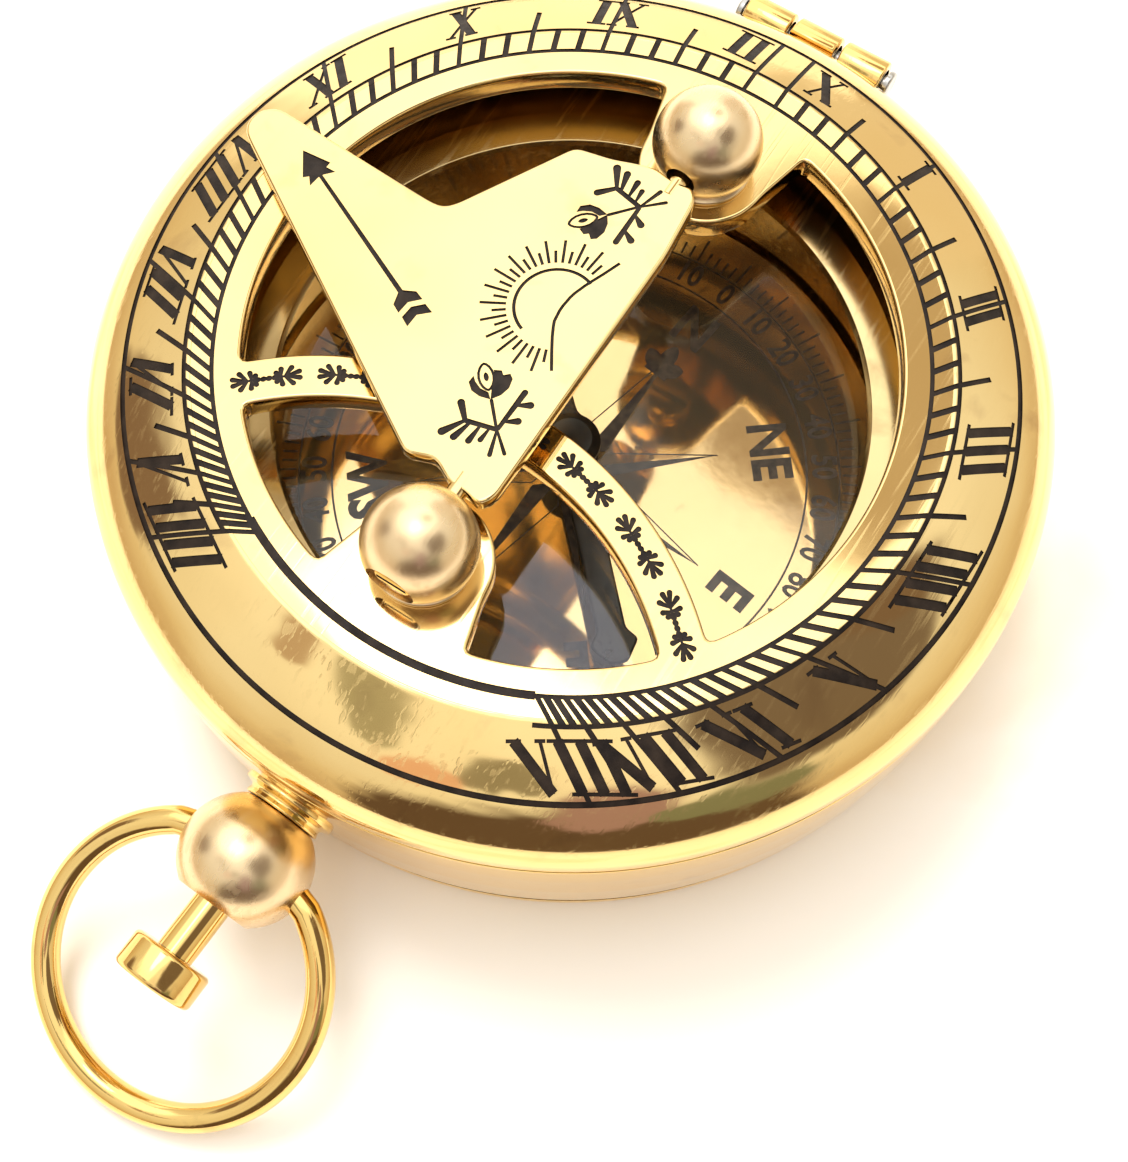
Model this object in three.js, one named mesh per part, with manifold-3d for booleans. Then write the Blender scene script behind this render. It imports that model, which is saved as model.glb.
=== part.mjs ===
// Pocket sundial with a compass in its case: a round brass box whose hinged lid is an hour ring with
// open windows. Two ball posts on the lid carry a folding gnomon, and a pendant on the case carries
// a push button and a bow ring.
// Millimetres. +Z is up, the case stands on z = 0 with its axis on the origin, +Y is the noon side
// with the lid hinge, -Y is the pendant side, -X is where the folded gnomon lies.

import * as THREE from 'three';
import { mergeVertices } from 'three/addons/utils/BufferGeometryUtils.js';
import Module from 'manifold-3d';

const wasm = await Module();
wasm.setup();

// ---------------------------------------------------------------- driving dimensions

const CASE_RADIUS = 25.0;            // widest radius of the case
const DIAL_PLANE_Z = 16.7;           // flat top of the hour ring
const SEAM_Z = 11.9;                 // top edge of the lower case
const SEAM_GAP = 0.3;                // parting line between case and lid
const SEAM_RADIUS = 24.9;            // case and lid where they meet
const WALL_INNER = 22.7;             // inside of the case wall
const LID_INNER = 22.9;              // inside of the lid's rim
const CLEARANCE = 0.3;               // gap between separate pieces

const WINDOW_RADIUS = 16.3;          // inner edge of the hour ring
const BAND_OUTER_RADIUS = 18.8;      // where the flat top ends and the slope begins
const SLOPE_RADIUS = 22.3;           // foot of the slope that carries the numerals
const SLOPE_DROP = 1.5;              // fall of the slope below the flat top
const PLATE = 1.4;                   // thickness of the hour ring's flat parts

const ARCH_RADIUS = 17.7;            // centre line of the curved band across the windows
const ARCH_CENTRE_Y = -22.7;
const ARCH_WIDTH = 2.3;

const BALL_RADIUS = 2.8;             // ball posts
const NORTH_BALL_Y = 12.6;
const SOUTH_BALL_Y = -13.0;
const BALL_HEIGHT = 2.0;             // ball centre, and gnomon axis, above the flat top
const TAB_RADIUS = 3.4;              // round end of each tab under its ball
const PIVOT_RADIUS = 0.5;            // gnomon pivots in the balls
const PIVOT_BORE = 0.8;
const PIVOT_HEAD_RADIUS = 1.0;       // slotted head in each ball's outer side
const POST_SCREW_RADIUS = 0.6;       // shank of the screw that holds a post to the lid

const GNOMON_THICKNESS = 0.9;
const GNOMON_LIE = THREE.MathUtils.degToRad(4.4);   // the folded plate slopes down to its tip

const FLOOR = 1.5;                   // thickness of the case floor
const FOOT_RADIUS = 23.4;            // flat underside
const FOOT_EDGE = 24.7;              // wall below the groove
const GROOVE_Z = 1.75;               // turned groove round the foot
const GROOVE_DEPTH = 0.25;
const BULGE_LOW_Z = 5.5;             // the wall is widest between these heights
const BULGE_HIGH_Z = 9.0;
const REST_GAP = 0.05;               // gap under a piece that rests on another
const COMPASS_FLOOR_Z = FLOOR + REST_GAP;           // underside of the dial card
const DIAL_RADIUS = 18.2;
const DIAL_THICKNESS = 0.6;
const NEEDLE_Z = 5.4;                // pivot point height
const NEEDLE_LENGTH = 13.0;
const NEEDLE_HALF_WIDTH = 0.8;
const NEEDLE_THICKNESS = 0.3;
const HUB_RADIUS = 1.7;
const HUB_CUP_RADIUS = 0.85;
const NEEDLE_BEARING = THREE.MathUtils.degToRad(-46);   // where the barred end points, from +X
const GLASS_Z = 10.4;
const GLASS_THICKNESS = 0.9;
const GLASS_RADIUS = 18.4;
const SLEEVE_OUTER = 20.0;           // sleeve round the compass
const GLASS_LEDGE_RADIUS = 17.2;     // inner edge of the step under the glass
const GLASS_RING_INNER = 15.5;       // clear opening over the glass

const SPRING_RADIUS = 21.6;          // middle of the leaf springs
const SPRING_THICKNESS = 0.4;
const SPRING_HEIGHT = 2.4;
const SCREW_SHANK = 0.5;
const SCREW_PLAY = 0.15;             // room between a spring and its screw, each side
const SCREW_HEAD_HEIGHT = 0.5;
const LIFT_SPRING_Z = 8.2;           // middle of each spring, and its screw's height
const LIFT_SCREW_BEARING = 62;       // degrees from +X
const CATCH_SPRING_Z = 6.8;
const CATCH_SCREW_BEARING = -127;
const CATCH_TOP_Z = 13.2;            // top of the catch's nose
const CATCH_LIP_Z = 12.3;            // underside of the lip it hooks over

const HINGE_Y = 25.5;
const HINGE_RADIUS = 1.2;
const HINGE_BORE = 0.8;
const HINGE_PIN_RADIUS = 0.5;
const HINGE_WIDTH = 9.0;
const HINGE_Z = SEAM_Z + SEAM_GAP / 2;
const CASE_WEB = [HINGE_Z - 2.4, HINGE_Z - 0.8];   // heights of the webs that carry the knuckles
const LID_WEB = [HINGE_Z + 0.5, HINGE_Z + 1.5];

const PENDANT_BEARING = THREE.MathUtils.degToRad(-2.2); // pendant's lean west of the -Y axis
const PENDANT_Z = 6.8;               // height of the pendant's axis
const PENDANT_REACH = 28.5;          // ball centre from the case's axis
const PENDANT_BALL_RADIUS = 3.5;
const PENDANT_BALL_HALF = 2.7;       // half length of the ball along the pendant
const CHAMBER_RADIUS = 1.9;          // room inside the ball for the button's spring
const CHAMBER_TOP = 2.0;             // its ends, from the ball's centre
const CHAMBER_LOW = -1.9;
const NECK_RADIUS = 2.0;
const STEM_RADIUS = 1.0;
const STEM_BORE = 1.3;
const CAP_RADIUS = 2.2;
const CAP_LENGTH = 1.9;

const BOW_RADIUS = 7.6;              // centre line of the bow's wire
const BOW_WIRE = 0.75;               // radius of the wire
const BOW_CENTRE = 6.8;              // bow centre from its pivot line
const BOW_HANG = Math.asin((PENDANT_Z - BOW_WIRE - 0.02) / (BOW_CENTRE + BOW_RADIUS)); // end rests on z = 0

const ROUND = 60;                    // segments round the large turned pieces
const SMALL_ROUND = 24;              // segments round the small ones

// ---------------------------------------------------------------- materials

const finish = (color, roughness, metalness, extra = {}) =>
  new THREE.MeshStandardMaterial({ color, roughness, metalness, ...extra });
const BRASS = () => finish(0xd9b26a, 0.2, 1.0);
const PALE_BRASS = () => finish(0xe8cf90, 0.18, 1.0);
const STEEL = () => finish(0x9a9a98, 0.35, 1.0);
const BLACKED = () => finish(0x1d1814, 0.5, 0.6);
const CARD = () => finish(0xe6c089, 0.55, 0.2);
const GLASS = () => finish(0xf3f6f2, 0.03, 0.0, { transparent: true, opacity: 0.25 });

// ---------------------------------------------------------------- solids

// Turns a closed geometry into a Manifold. Triangles that collapse on an axis are left out.
function solid(geometry) {
  const bare = geometry.clone();
  bare.deleteAttribute('normal');
  bare.deleteAttribute('uv');
  const merged = mergeVertices(bare, 1e-4);
  const index = merged.index.array;
  const kept = [];
  for (let i = 0; i < index.length; i += 3) {
    const [a, b, c] = [index[i], index[i + 1], index[i + 2]];
    if (a !== b && b !== c && c !== a) kept.push(a, b, c);
  }
  return new wasm.Manifold(new wasm.Mesh({
    numProp: 3,
    vertProperties: new Float32Array(merged.attributes.position.array),
    triVerts: new Uint32Array(kept),
  }));
}

function geometryOf(manifold) {
  const mesh = manifold.getMesh();
  const geometry = new THREE.BufferGeometry();
  geometry.setAttribute('position', new THREE.BufferAttribute(mesh.vertProperties, 3));
  geometry.setIndex(new THREE.BufferAttribute(mesh.triVerts, 1));
  geometry.computeVertexNormals();
  return geometry;
}

const union = (first, ...others) => others.reduce((sum, one) => sum.add(one), first);
const cut = (first, ...others) => others.reduce((rest, one) => rest.subtract(one), first);

function piece(name, manifold, material) {
  const mesh = new THREE.Mesh(geometryOf(manifold), material);
  mesh.name = name;
  return mesh;
}

// A turned solid about +Z from [radius, height] points listed anticlockwise in the r-z plane.
// A profile that neither starts nor ends on the axis is closed on itself.
function turned(points, segments = ROUND) {
  const onAxis = points[0][0] === 0 && points[points.length - 1][0] === 0;
  const outline = onAxis ? points : [...points, points[0]];
  const profile = outline.map(([r, z]) => new THREE.Vector2(r, z));
  const geometry = new THREE.LatheGeometry(profile, segments);
  geometry.rotateX(Math.PI / 2);
  return solid(geometry);
}

// A solid ring or disc between two heights.
function ring(inner, outer, low, high, segments = ROUND) {
  return turned([[inner, low], [outer, low], [outer, high], [inner, high]], segments);
}

function disc(radius, low, high, segments = SMALL_ROUND) {
  return turned([[0, low], [radius, low], [radius, high], [0, high]], segments);
}

// Points on an arc in the r-z plane, from one angle to another in degrees.
function arc(cx, cy, radius, from, to, steps) {
  const points = [];
  for (let i = 0; i <= steps; i += 1) {
    const angle = THREE.MathUtils.degToRad(from + (to - from) * i / steps);
    points.push([cx + radius * Math.cos(angle), cy + radius * Math.sin(angle)]);
  }
  return points;
}

// A flat outline extruded from one height to another.
function extruded(points, low, high) {
  const shape = new THREE.Shape(points.map(([x, y]) => new THREE.Vector2(x, y)));
  const geometry = new THREE.ExtrudeGeometry(shape, { depth: high - low, bevelEnabled: false });
  geometry.translate(0, 0, low);
  return solid(geometry);
}

function box(x, y, z, width, depth, height) {
  const geometry = new THREE.BoxGeometry(width, depth, height);
  geometry.translate(x, y, z);
  return solid(geometry);
}

// A rod along +X or +Y, centred at a point.
function rod(direction, radius, length, x, y, z, segments = SMALL_ROUND) {
  const geometry = new THREE.CylinderGeometry(radius, radius, length, segments);
  if (direction === 'x') geometry.rotateZ(Math.PI / 2);
  geometry.translate(x, y, z);
  return solid(geometry);
}

// A round wire of constant section along a curve.
function wire(curve, radius, steps, sides) {
  const section = new THREE.Shape();
  section.absarc(0, 0, radius, 0, 2 * Math.PI);
  const geometry = new THREE.ExtrudeGeometry(section, {
    steps, extrudePath: curve, bevelEnabled: false, curveSegments: sides,
  });
  return solid(geometry);
}

// ---------------------------------------------------------------- case

// The room that both shells leave for the hinge's knuckles.
function hingeRelief() {
  return rod('x', HINGE_RADIUS + CLEARANCE, HINGE_WIDTH + 2 * CLEARANCE, 0, HINGE_Y, HINGE_Z);
}

// A flat floor with a rounded edge, a turned groove above it and a wall that bulges a little.
function lowerCase() {
  const profile = [
    [0, 0], [FOOT_RADIUS, 0], [24.3, 0.25], [FOOT_EDGE, 0.8], [FOOT_EDGE, GROOVE_Z - 0.25],
    [FOOT_EDGE - GROOVE_DEPTH, GROOVE_Z], [FOOT_EDGE, GROOVE_Z + 0.35],
    [CASE_RADIUS, BULGE_LOW_Z], [CASE_RADIUS, BULGE_HIGH_Z], [SEAM_RADIUS, SEAM_Z],
    [WALL_INNER, SEAM_Z], [WALL_INNER, FLOOR], [0, FLOOR],
  ];
  const wallThrough = 8;
  const stemHole = rod('y', STEM_BORE, wallThrough, 0, -CASE_RADIUS, 0);
  const turnedHole = stemHole.rotate([0, 0, THREE.MathUtils.radToDeg(PENDANT_BEARING)]);
  return cut(turned(profile), turnedHole.translate([0, 0, PENDANT_Z]), hingeRelief());
}

const GLASS_SEAT_Z = GLASS_Z - REST_GAP;
const SLEEVE_TOP_Z = GLASS_Z + GLASS_THICKNESS - REST_GAP;

// The sleeve stands on the floor round the dial card, and its step carries the glass.
function compassWall() {
  const inner = DIAL_RADIUS + CLEARANCE;
  const pocket = GLASS_RADIUS + CLEARANCE;
  return turned([
    [inner, COMPASS_FLOOR_Z], [SLEEVE_OUTER, COMPASS_FLOOR_Z], [SLEEVE_OUTER, SLEEVE_TOP_Z],
    [pocket, SLEEVE_TOP_Z], [pocket, GLASS_SEAT_Z], [GLASS_LEDGE_RADIUS, GLASS_SEAT_Z],
    [GLASS_LEDGE_RADIUS, GLASS_SEAT_Z - 0.8], [inner, GLASS_SEAT_Z - 1.8],
  ]);
}

// The ring that holds the glass down: it slopes to a thin edge at the clear opening.
function glassRing() {
  const low = GLASS_Z + GLASS_THICKNESS + REST_GAP;
  const top = SEAM_Z - 0.1;
  return turned([
    [GLASS_RING_INNER, low], [SLEEVE_OUTER, low], [SLEEVE_OUTER, top - 0.1], [SLEEVE_OUTER - 0.2, top],
    [GLASS_RING_INNER + 1.8, top], [GLASS_RING_INNER + 0.4, low + 0.2],
  ]);
}

// A pin on a round foot, sharpened at the top where the needle's cup sits.
function needlePivot() {
  const base = COMPASS_FLOOR_Z + DIAL_THICKNESS + REST_GAP;
  const foot = 1.6;
  const pin = 0.35;
  return turned([
    [0, base], [foot, base], [foot, base + 0.3], [pin + 0.25, base + 0.8], [pin, base + 1.0],
    [pin, NEEDLE_Z - 1.0], [0, NEEDLE_Z - 0.2],
  ], SMALL_ROUND);
}

// A knuckle of the hinge: a bored barrel with a web that reaches its shell's outer face.
function knuckle(x, webLow, webHigh, face) {
  const width = HINGE_WIDTH / 3 - CLEARANCE;
  const barrel = rod('x', HINGE_RADIUS, width, x, HINGE_Y, HINGE_Z);
  const web = box(x, HINGE_Y - 0.9, (webLow + webHigh) / 2, width, 1.5, webHigh - webLow);
  const bore = rod('x', HINGE_BORE, width + 2, x, HINGE_Y, HINGE_Z);
  return cut(union(barrel, web), disc(face, 0, DIAL_PLANE_Z, ROUND), bore);
}

function hingePin() {
  const headLength = 0.4;
  const shank = rod('x', HINGE_PIN_RADIUS, HINGE_WIDTH + headLength, 0, HINGE_Y, HINGE_Z);
  const heads = [-1, 1].map((side) =>
    rod('x', HINGE_PIN_RADIUS + 0.35, headLength, side * (HINGE_WIDTH + headLength) / 2, HINGE_Y, HINGE_Z));
  return union(shank, ...heads);
}

// A strip of spring steel standing on edge along an arc, from one bearing to another.
function leaf(radius, thickness, fromDegrees, toDegrees, low, high) {
  const steps = 14;
  const outside = arc(0, 0, radius + thickness / 2, fromDegrees, toDegrees, steps);
  const inside = arc(0, 0, radius - thickness / 2, toDegrees, fromDegrees, steps);
  return extruded([...outside, ...inside], low, high);
}

// The hole in a leaf spring for its screw.
function springHole(bearingDegrees, height) {
  return rod('x', SCREW_SHANK + 0.25, 6, SPRING_RADIUS, 0, height).rotate([0, 0, bearingDegrees]);
}

// The leaf beside the hinge, whose tongue pushes the lid up when it is let go.
function liftSpring() {
  const low = LIFT_SPRING_Z - SPRING_HEIGHT / 2;
  const high = LIFT_SPRING_Z + SPRING_HEIGHT / 2;
  const strip = leaf(SPRING_RADIUS, SPRING_THICKNESS, LIFT_SCREW_BEARING - 4, 96, low, high);
  const tongue = leaf(SPRING_RADIUS, SPRING_THICKNESS, 88, 96, high - 0.4, SEAM_Z - 0.1);
  return cut(union(strip, tongue), springHole(LIFT_SCREW_BEARING, LIFT_SPRING_Z));
}

// The leaf beside the pendant: its nose hooks over the lid's lip until the button pushes it in.
function catchSpring() {
  const [from, to] = [-94, -88];
  const low = CATCH_SPRING_Z - SPRING_HEIGHT / 2;
  const high = CATCH_SPRING_Z + SPRING_HEIGHT / 2;
  const noseLow = CATCH_TOP_Z - 0.35;
  const strip = leaf(SPRING_RADIUS, SPRING_THICKNESS, CATCH_SCREW_BEARING - 5, to + 2, low, high);
  const tongue = leaf(SPRING_RADIUS, SPRING_THICKNESS, from, to, high - 0.2, CATCH_TOP_Z);
  const nose = leaf(SPRING_RADIUS + 0.1, SPRING_THICKNESS + 0.2, from, to, noseLow, CATCH_TOP_Z);
  return cut(union(strip, tongue, nose), springHole(CATCH_SCREW_BEARING, CATCH_SPRING_Z));
}

// A shouldered screw that stands radially in the case wall: slotted head inside, spacer outwards.
const SCREW_FOOT_RADIUS = SPRING_RADIUS - SPRING_THICKNESS / 2 - SCREW_PLAY - SCREW_HEAD_HEIGHT;

function wallScrew() {
  const spacer = SPRING_RADIUS + SPRING_THICKNESS / 2 + SCREW_PLAY - SCREW_FOOT_RADIUS;
  const wall = WALL_INNER - REST_GAP - SCREW_FOOT_RADIUS;
  const head = cut(disc(1.2, 0, SCREW_HEAD_HEIGHT), box(0, 0, 0, 0.35, 3, SCREW_HEAD_HEIGHT));
  return union(head, disc(SCREW_SHANK, SCREW_HEAD_HEIGHT - 0.1, spacer + 0.1), disc(1.0, spacer, wall));
}

function placeWallScrew(mesh, bearingDegrees, height) {
  const bearing = THREE.MathUtils.degToRad(bearingDegrees);
  const outward = new THREE.Vector3(Math.cos(bearing), Math.sin(bearing), 0);
  mesh.position.copy(outward).multiplyScalar(SCREW_FOOT_RADIUS).setZ(height);
  mesh.quaternion.setFromUnitVectors(new THREE.Vector3(0, 0, 1), outward);
  return mesh;
}

// ---------------------------------------------------------------- lid

// Outline of a tab that runs from the window's edge at one end to a round end under a ball.
function tabOutline(ballY) {
  const side = Math.sign(ballY);
  const root = WINDOW_RADIUS + 0.6;
  const nose = arc(0, ballY, TAB_RADIUS, side > 0 ? 0 : 180, side > 0 ? -180 : 0, 18);
  const flare = TAB_RADIUS + 0.7;
  return [...nose, [-side * flare, side * (root - 1.1)], [-side * flare, side * root],
    [side * flare, side * root], [side * flare, side * (root - 1.1)]];
}

function archOutline() {
  const reach = 47;
  const steps = 28;
  const outer = arc(0, ARCH_CENTRE_Y, ARCH_RADIUS + ARCH_WIDTH / 2, 90 - reach, 90 + reach, steps);
  const inner = arc(0, ARCH_CENTRE_Y, ARCH_RADIUS - ARCH_WIDTH / 2, 90 + reach, 90 - reach, steps);
  return [...outer, ...inner];
}

const PLATE_BOTTOM = DIAL_PLANE_Z - PLATE;

// The lid's shell: a rounded shoulder, the slope of the numerals and the flat band, hollow below.
function lidShell() {
  const low = SEAM_Z + SEAM_GAP;
  const slopeMiddle = (SLOPE_RADIUS + BAND_OUTER_RADIUS) / 2;
  return turned([
    [SEAM_RADIUS, low], [SEAM_RADIUS - 0.15, low + 1.0], [SEAM_RADIUS - 0.6, low + 1.9],
    [SEAM_RADIUS - 1.4, low + 2.6], [SLOPE_RADIUS, DIAL_PLANE_Z - SLOPE_DROP],
    [slopeMiddle, DIAL_PLANE_Z - 0.45 * SLOPE_DROP], [BAND_OUTER_RADIUS, DIAL_PLANE_Z],
    [WINDOW_RADIUS, DIAL_PLANE_Z], [WINDOW_RADIUS, PLATE_BOTTOM],
    [BAND_OUTER_RADIUS - 0.3, PLATE_BOTTOM], [LID_INNER - 1.3, low + 1.7], [LID_INNER, low + 0.9],
    [LID_INNER, low],
  ]);
}

function sundialRing() {
  const inside = disc(WINDOW_RADIUS + 0.5, PLATE_BOTTOM, DIAL_PLANE_Z, ROUND);
  const arch = extruded(archOutline(), PLATE_BOTTOM, DIAL_PLANE_Z).intersect(inside);
  const tabs = [NORTH_BALL_Y, SOUTH_BALL_Y].map((y) =>
    extruded(tabOutline(y), PLATE_BOTTOM, DIAL_PLANE_Z).intersect(inside));
  const screwHoles = [NORTH_BALL_Y, SOUTH_BALL_Y].map((y) =>
    disc(POST_SCREW_RADIUS + CLEARANCE, PLATE_BOTTOM - 1, DIAL_PLANE_Z + 1).translate([0, y, 0]));
  return cut(union(lidShell(), arch, ...tabs), ...screwHoles, hingeRelief());
}

// A ball on a short foot, bored along Y for the pivots and up its foot for the fixing screw.
function ballPost() {
  const foot = -BALL_HEIGHT + 0.03;
  const neck = 2.1;
  const start = THREE.MathUtils.radToDeg(-Math.acos(neck / BALL_RADIUS));
  const profile = [
    [0, foot], [neck + 0.2, foot], ...arc(0, 0, BALL_RADIUS, start, 80, 10), [0, BALL_RADIUS],
  ];
  const pivotBore = rod('y', PIVOT_BORE, 2 * BALL_RADIUS + 1, 0, 0, 0);
  const headSeat = rod('y', PIVOT_HEAD_RADIUS + CLEARANCE, 2, 0, -BALL_RADIUS + 0.1, 0);
  const screwHole = disc(POST_SCREW_RADIUS + CLEARANCE, -BALL_RADIUS, -BALL_HEIGHT + 0.9);
  return cut(turned(profile, 28), pivotBore, headSeat, screwHole);
}

// The slotted screw in a ball post's outer side, head towards -Y.
function pivotScrew() {
  const headHeight = 0.6;
  const headMiddle = -2.1;
  const head = rod('y', PIVOT_HEAD_RADIUS, headHeight, 0, headMiddle, 0);
  const slot = box(0, headMiddle - 0.4, 0, 3, headHeight, 0.3);
  return union(cut(head, slot), rod('y', PIVOT_RADIUS, 1.2, 0, headMiddle + 0.8, 0));
}

// The screw that holds a post from under the lid: its slotted head hangs below z = 0.
function postScrew() {
  const headHeight = 0.9;
  const head = cut(disc(1.6, -headHeight, -0.02), box(0, 0, -headHeight, 4, 0.4, 0.5));
  return union(head, disc(POST_SCREW_RADIUS, -0.1, PLATE + 0.5));
}

function lidCatchLip() {
  return leaf(LID_INNER - 0.32, 0.55, -95, -87, CATCH_LIP_Z, CATCH_LIP_Z + 0.3);
}

// ---------------------------------------------------------------- gnomon

// Plate outline seen from above with the fold axis on x = 0. Its south and north edges keep clear of
// the balls, and its west side runs out to the long arm with the round tip.
function gnomonOutline() {
  const reach = BALL_RADIUS + 0.3;
  const southArc = arc(0, SOUTH_BALL_Y, reach, 97, 65, 6);
  const northArc = arc(0, NORTH_BALL_Y, reach, -72, -112, 7);
  const tip = arc(-19.6, 1.9, 1.25, 96, 236, 7);
  return [
    [-3.1, -9.7], [-1.7, -9.2], ...southArc, [1.8, -9.5], [1.8, 5.6], [1.45, 8.9],
    ...northArc, [-2.2, 9.5], [-3.4, 9.1], [-5.4, 8.75], [-8.75, 2.9], [-9.2, 2.45], [-9.9, 2.4],
    ...tip,
  ];
}

function gnomonPlate() {
  const half = GNOMON_THICKNESS / 2;
  const plate = extruded(gnomonOutline(), -half, half);
  const pivots = [[NORTH_BALL_Y, -1], [SOUTH_BALL_Y, 1]].map(([ballY, inward]) => {
    const length = BALL_RADIUS + 0.9;
    return rod('y', PIVOT_RADIUS, length, 0, ballY + inward * (0.4 + length / 2), 0);
  });
  return union(plate, ...pivots);
}

// ---------------------------------------------------------------- compass needle

// A flat bar along X with a barbed end at +X, narrower at the other end, and a disc round the hub.
function compassNeedle() {
  const side = [
    [NEEDLE_LENGTH, 0.55], [NEEDLE_LENGTH - 1.2, 1.35], [NEEDLE_LENGTH - 1.9, NEEDLE_HALF_WIDTH],
    [-HUB_RADIUS, NEEDLE_HALF_WIDTH], [-NEEDLE_LENGTH + 2.4, 0.35],
  ];
  const otherSide = side.map(([x, y]) => [x, -y]).reverse();
  const half = NEEDLE_THICKNESS / 2;
  const bar = union(extruded([...side, ...otherSide], -half, half), disc(HUB_RADIUS + 0.05, -half, half));
  return cut(bar, disc(HUB_CUP_RADIUS + CLEARANCE, -1, 1));
}

// The hub's cup goes through the bar and rides on the pivot: its brim lies on top of the bar.
function needleHub() {
  const brim = NEEDLE_THICKNESS / 2 + REST_GAP;
  return turned([
    [0, 0.1], [HUB_CUP_RADIUS - 0.3, -0.9], [HUB_CUP_RADIUS, -0.9], [HUB_CUP_RADIUS, brim],
    [HUB_RADIUS, brim], [HUB_RADIUS, brim + 0.35], [HUB_RADIUS - 0.5, brim + 0.75], [0, brim + 0.9],
  ]);
}

// ---------------------------------------------------------------- pendant, button and bow

// The pendant's pieces are turned about +Z, with the case below them, and laid outwards together.
const toPendantZ = (distance) => distance - PENDANT_REACH;

function pendantNeck() {
  const low = toPendantZ(CASE_RADIUS + 0.1);
  const high = -PENDANT_BALL_HALF - REST_GAP;
  return turned([
    [STEM_BORE, low], [NECK_RADIUS + 0.6, low], [NECK_RADIUS + 0.1, (low + high) / 2], [NECK_RADIUS, high],
    [STEM_BORE, high],
  ], SMALL_ROUND);
}

// A round bead cut flat at both ends, with a chamber for the button's spring and collar inside.
function pendantBall() {
  const cutAngle = 0.62;
  const steps = 10;
  const round = [];
  for (let i = 0; i <= steps; i += 1) {
    const angle = (Math.PI / 2 - cutAngle) * (2 * i / steps - 1);
    const height = PENDANT_BALL_HALF * Math.sin(angle) / Math.cos(cutAngle);
    round.push([PENDANT_BALL_RADIUS * Math.cos(angle), height]);
  }
  const top = PENDANT_BALL_HALF;
  const inside = [
    [STEM_BORE, top], [STEM_BORE, CHAMBER_TOP], [CHAMBER_RADIUS, CHAMBER_TOP],
    [CHAMBER_RADIUS, CHAMBER_LOW], [STEM_BORE, CHAMBER_LOW], [STEM_BORE, -top],
  ];
  const bowHoles = [-1, 1].map((side) => rod('x', BOW_WIRE + CLEARANCE, 2, side * 3.15, 0, 0));
  return cut(turned([...round, ...inside], 28), ...bowHoles);
}

const STEM_INNER = toPendantZ(SPRING_RADIUS + SPRING_THICKNESS / 2 + 0.35);
const STEM_OUTER = PENDANT_BALL_HALF + 2.9;
const COLLAR_TOP = CHAMBER_TOP - 0.2;
const COLLAR_LOW = COLLAR_TOP - 0.7;

// A thin rod from the catch to a collar under the ball's outer end, and a thicker one on to the cap.
function buttonStem() {
  const rodRadius = STEM_RADIUS - 0.25;
  const collar = CHAMBER_RADIUS - CLEARANCE;
  return turned([
    [0, STEM_INNER], [rodRadius, STEM_INNER], [rodRadius, COLLAR_LOW], [collar, COLLAR_LOW],
    [collar, COLLAR_TOP], [STEM_RADIUS, COLLAR_TOP], [STEM_RADIUS, STEM_OUTER], [0, STEM_OUTER],
  ], SMALL_ROUND);
}

function buttonCap() {
  const low = STEM_OUTER + 0.02;
  const high = low + CAP_LENGTH;
  const edge = 0.3;
  return turned([
    [0, low], [CAP_RADIUS - edge, low], [CAP_RADIUS, low + edge], [CAP_RADIUS, high - edge],
    [CAP_RADIUS - edge, high], [0, high + 0.1],
  ], SMALL_ROUND);
}

// A coil round the thin rod, between the chamber's inner end and the collar.
function buttonSpring() {
  const radius = 1.3;
  const thickness = 0.15;
  const low = CHAMBER_LOW + thickness + REST_GAP;
  const high = COLLAR_LOW - thickness - REST_GAP;
  const steps = 48;
  const stepsPerTurn = 12;
  const points = [];
  for (let i = 0; i <= steps; i += 1) {
    const angle = 2 * Math.PI * i / stepsPerTurn;
    const height = low + (high - low) * i / steps;
    points.push(new THREE.Vector3(radius * Math.cos(angle), radius * Math.sin(angle), height));
  }
  return wire(new THREE.CatmullRomCurve3(points), thickness, steps, 3);
}

// The bow lies in the plane z = 0 of its own group, its pivot line on y = 0 and its ring towards -Y.
function bowRing() {
  const end = 2.4;
  const bend = 2.95;
  const start = Math.asin(BOW_CENTRE / BOW_RADIUS);
  const sweep = Math.PI + 2 * start;
  const steps = 44;
  const points = [new THREE.Vector3(end, 0, 0), new THREE.Vector3(bend, 0, 0)];
  for (let i = 1; i < steps; i += 1) {
    const angle = start - sweep * i / steps;
    const [x, y] = [BOW_RADIUS * Math.cos(angle), BOW_RADIUS * Math.sin(angle)];
    points.push(new THREE.Vector3(x, y - BOW_CENTRE, 0));
  }
  points.push(new THREE.Vector3(-bend, 0, 0), new THREE.Vector3(-end, 0, 0));
  return wire(new THREE.CatmullRomCurve3(points), BOW_WIRE, steps + 4, 4);
}

// ---------------------------------------------------------------- assembly

const object = new THREE.Group();
const dialCard = ring(1.0, DIAL_RADIUS, COMPASS_FLOOR_Z, COMPASS_FLOOR_Z + DIAL_THICKNESS);
const glassDisc = disc(GLASS_RADIUS, GLASS_Z, GLASS_Z + GLASS_THICKNESS, ROUND);

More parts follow.
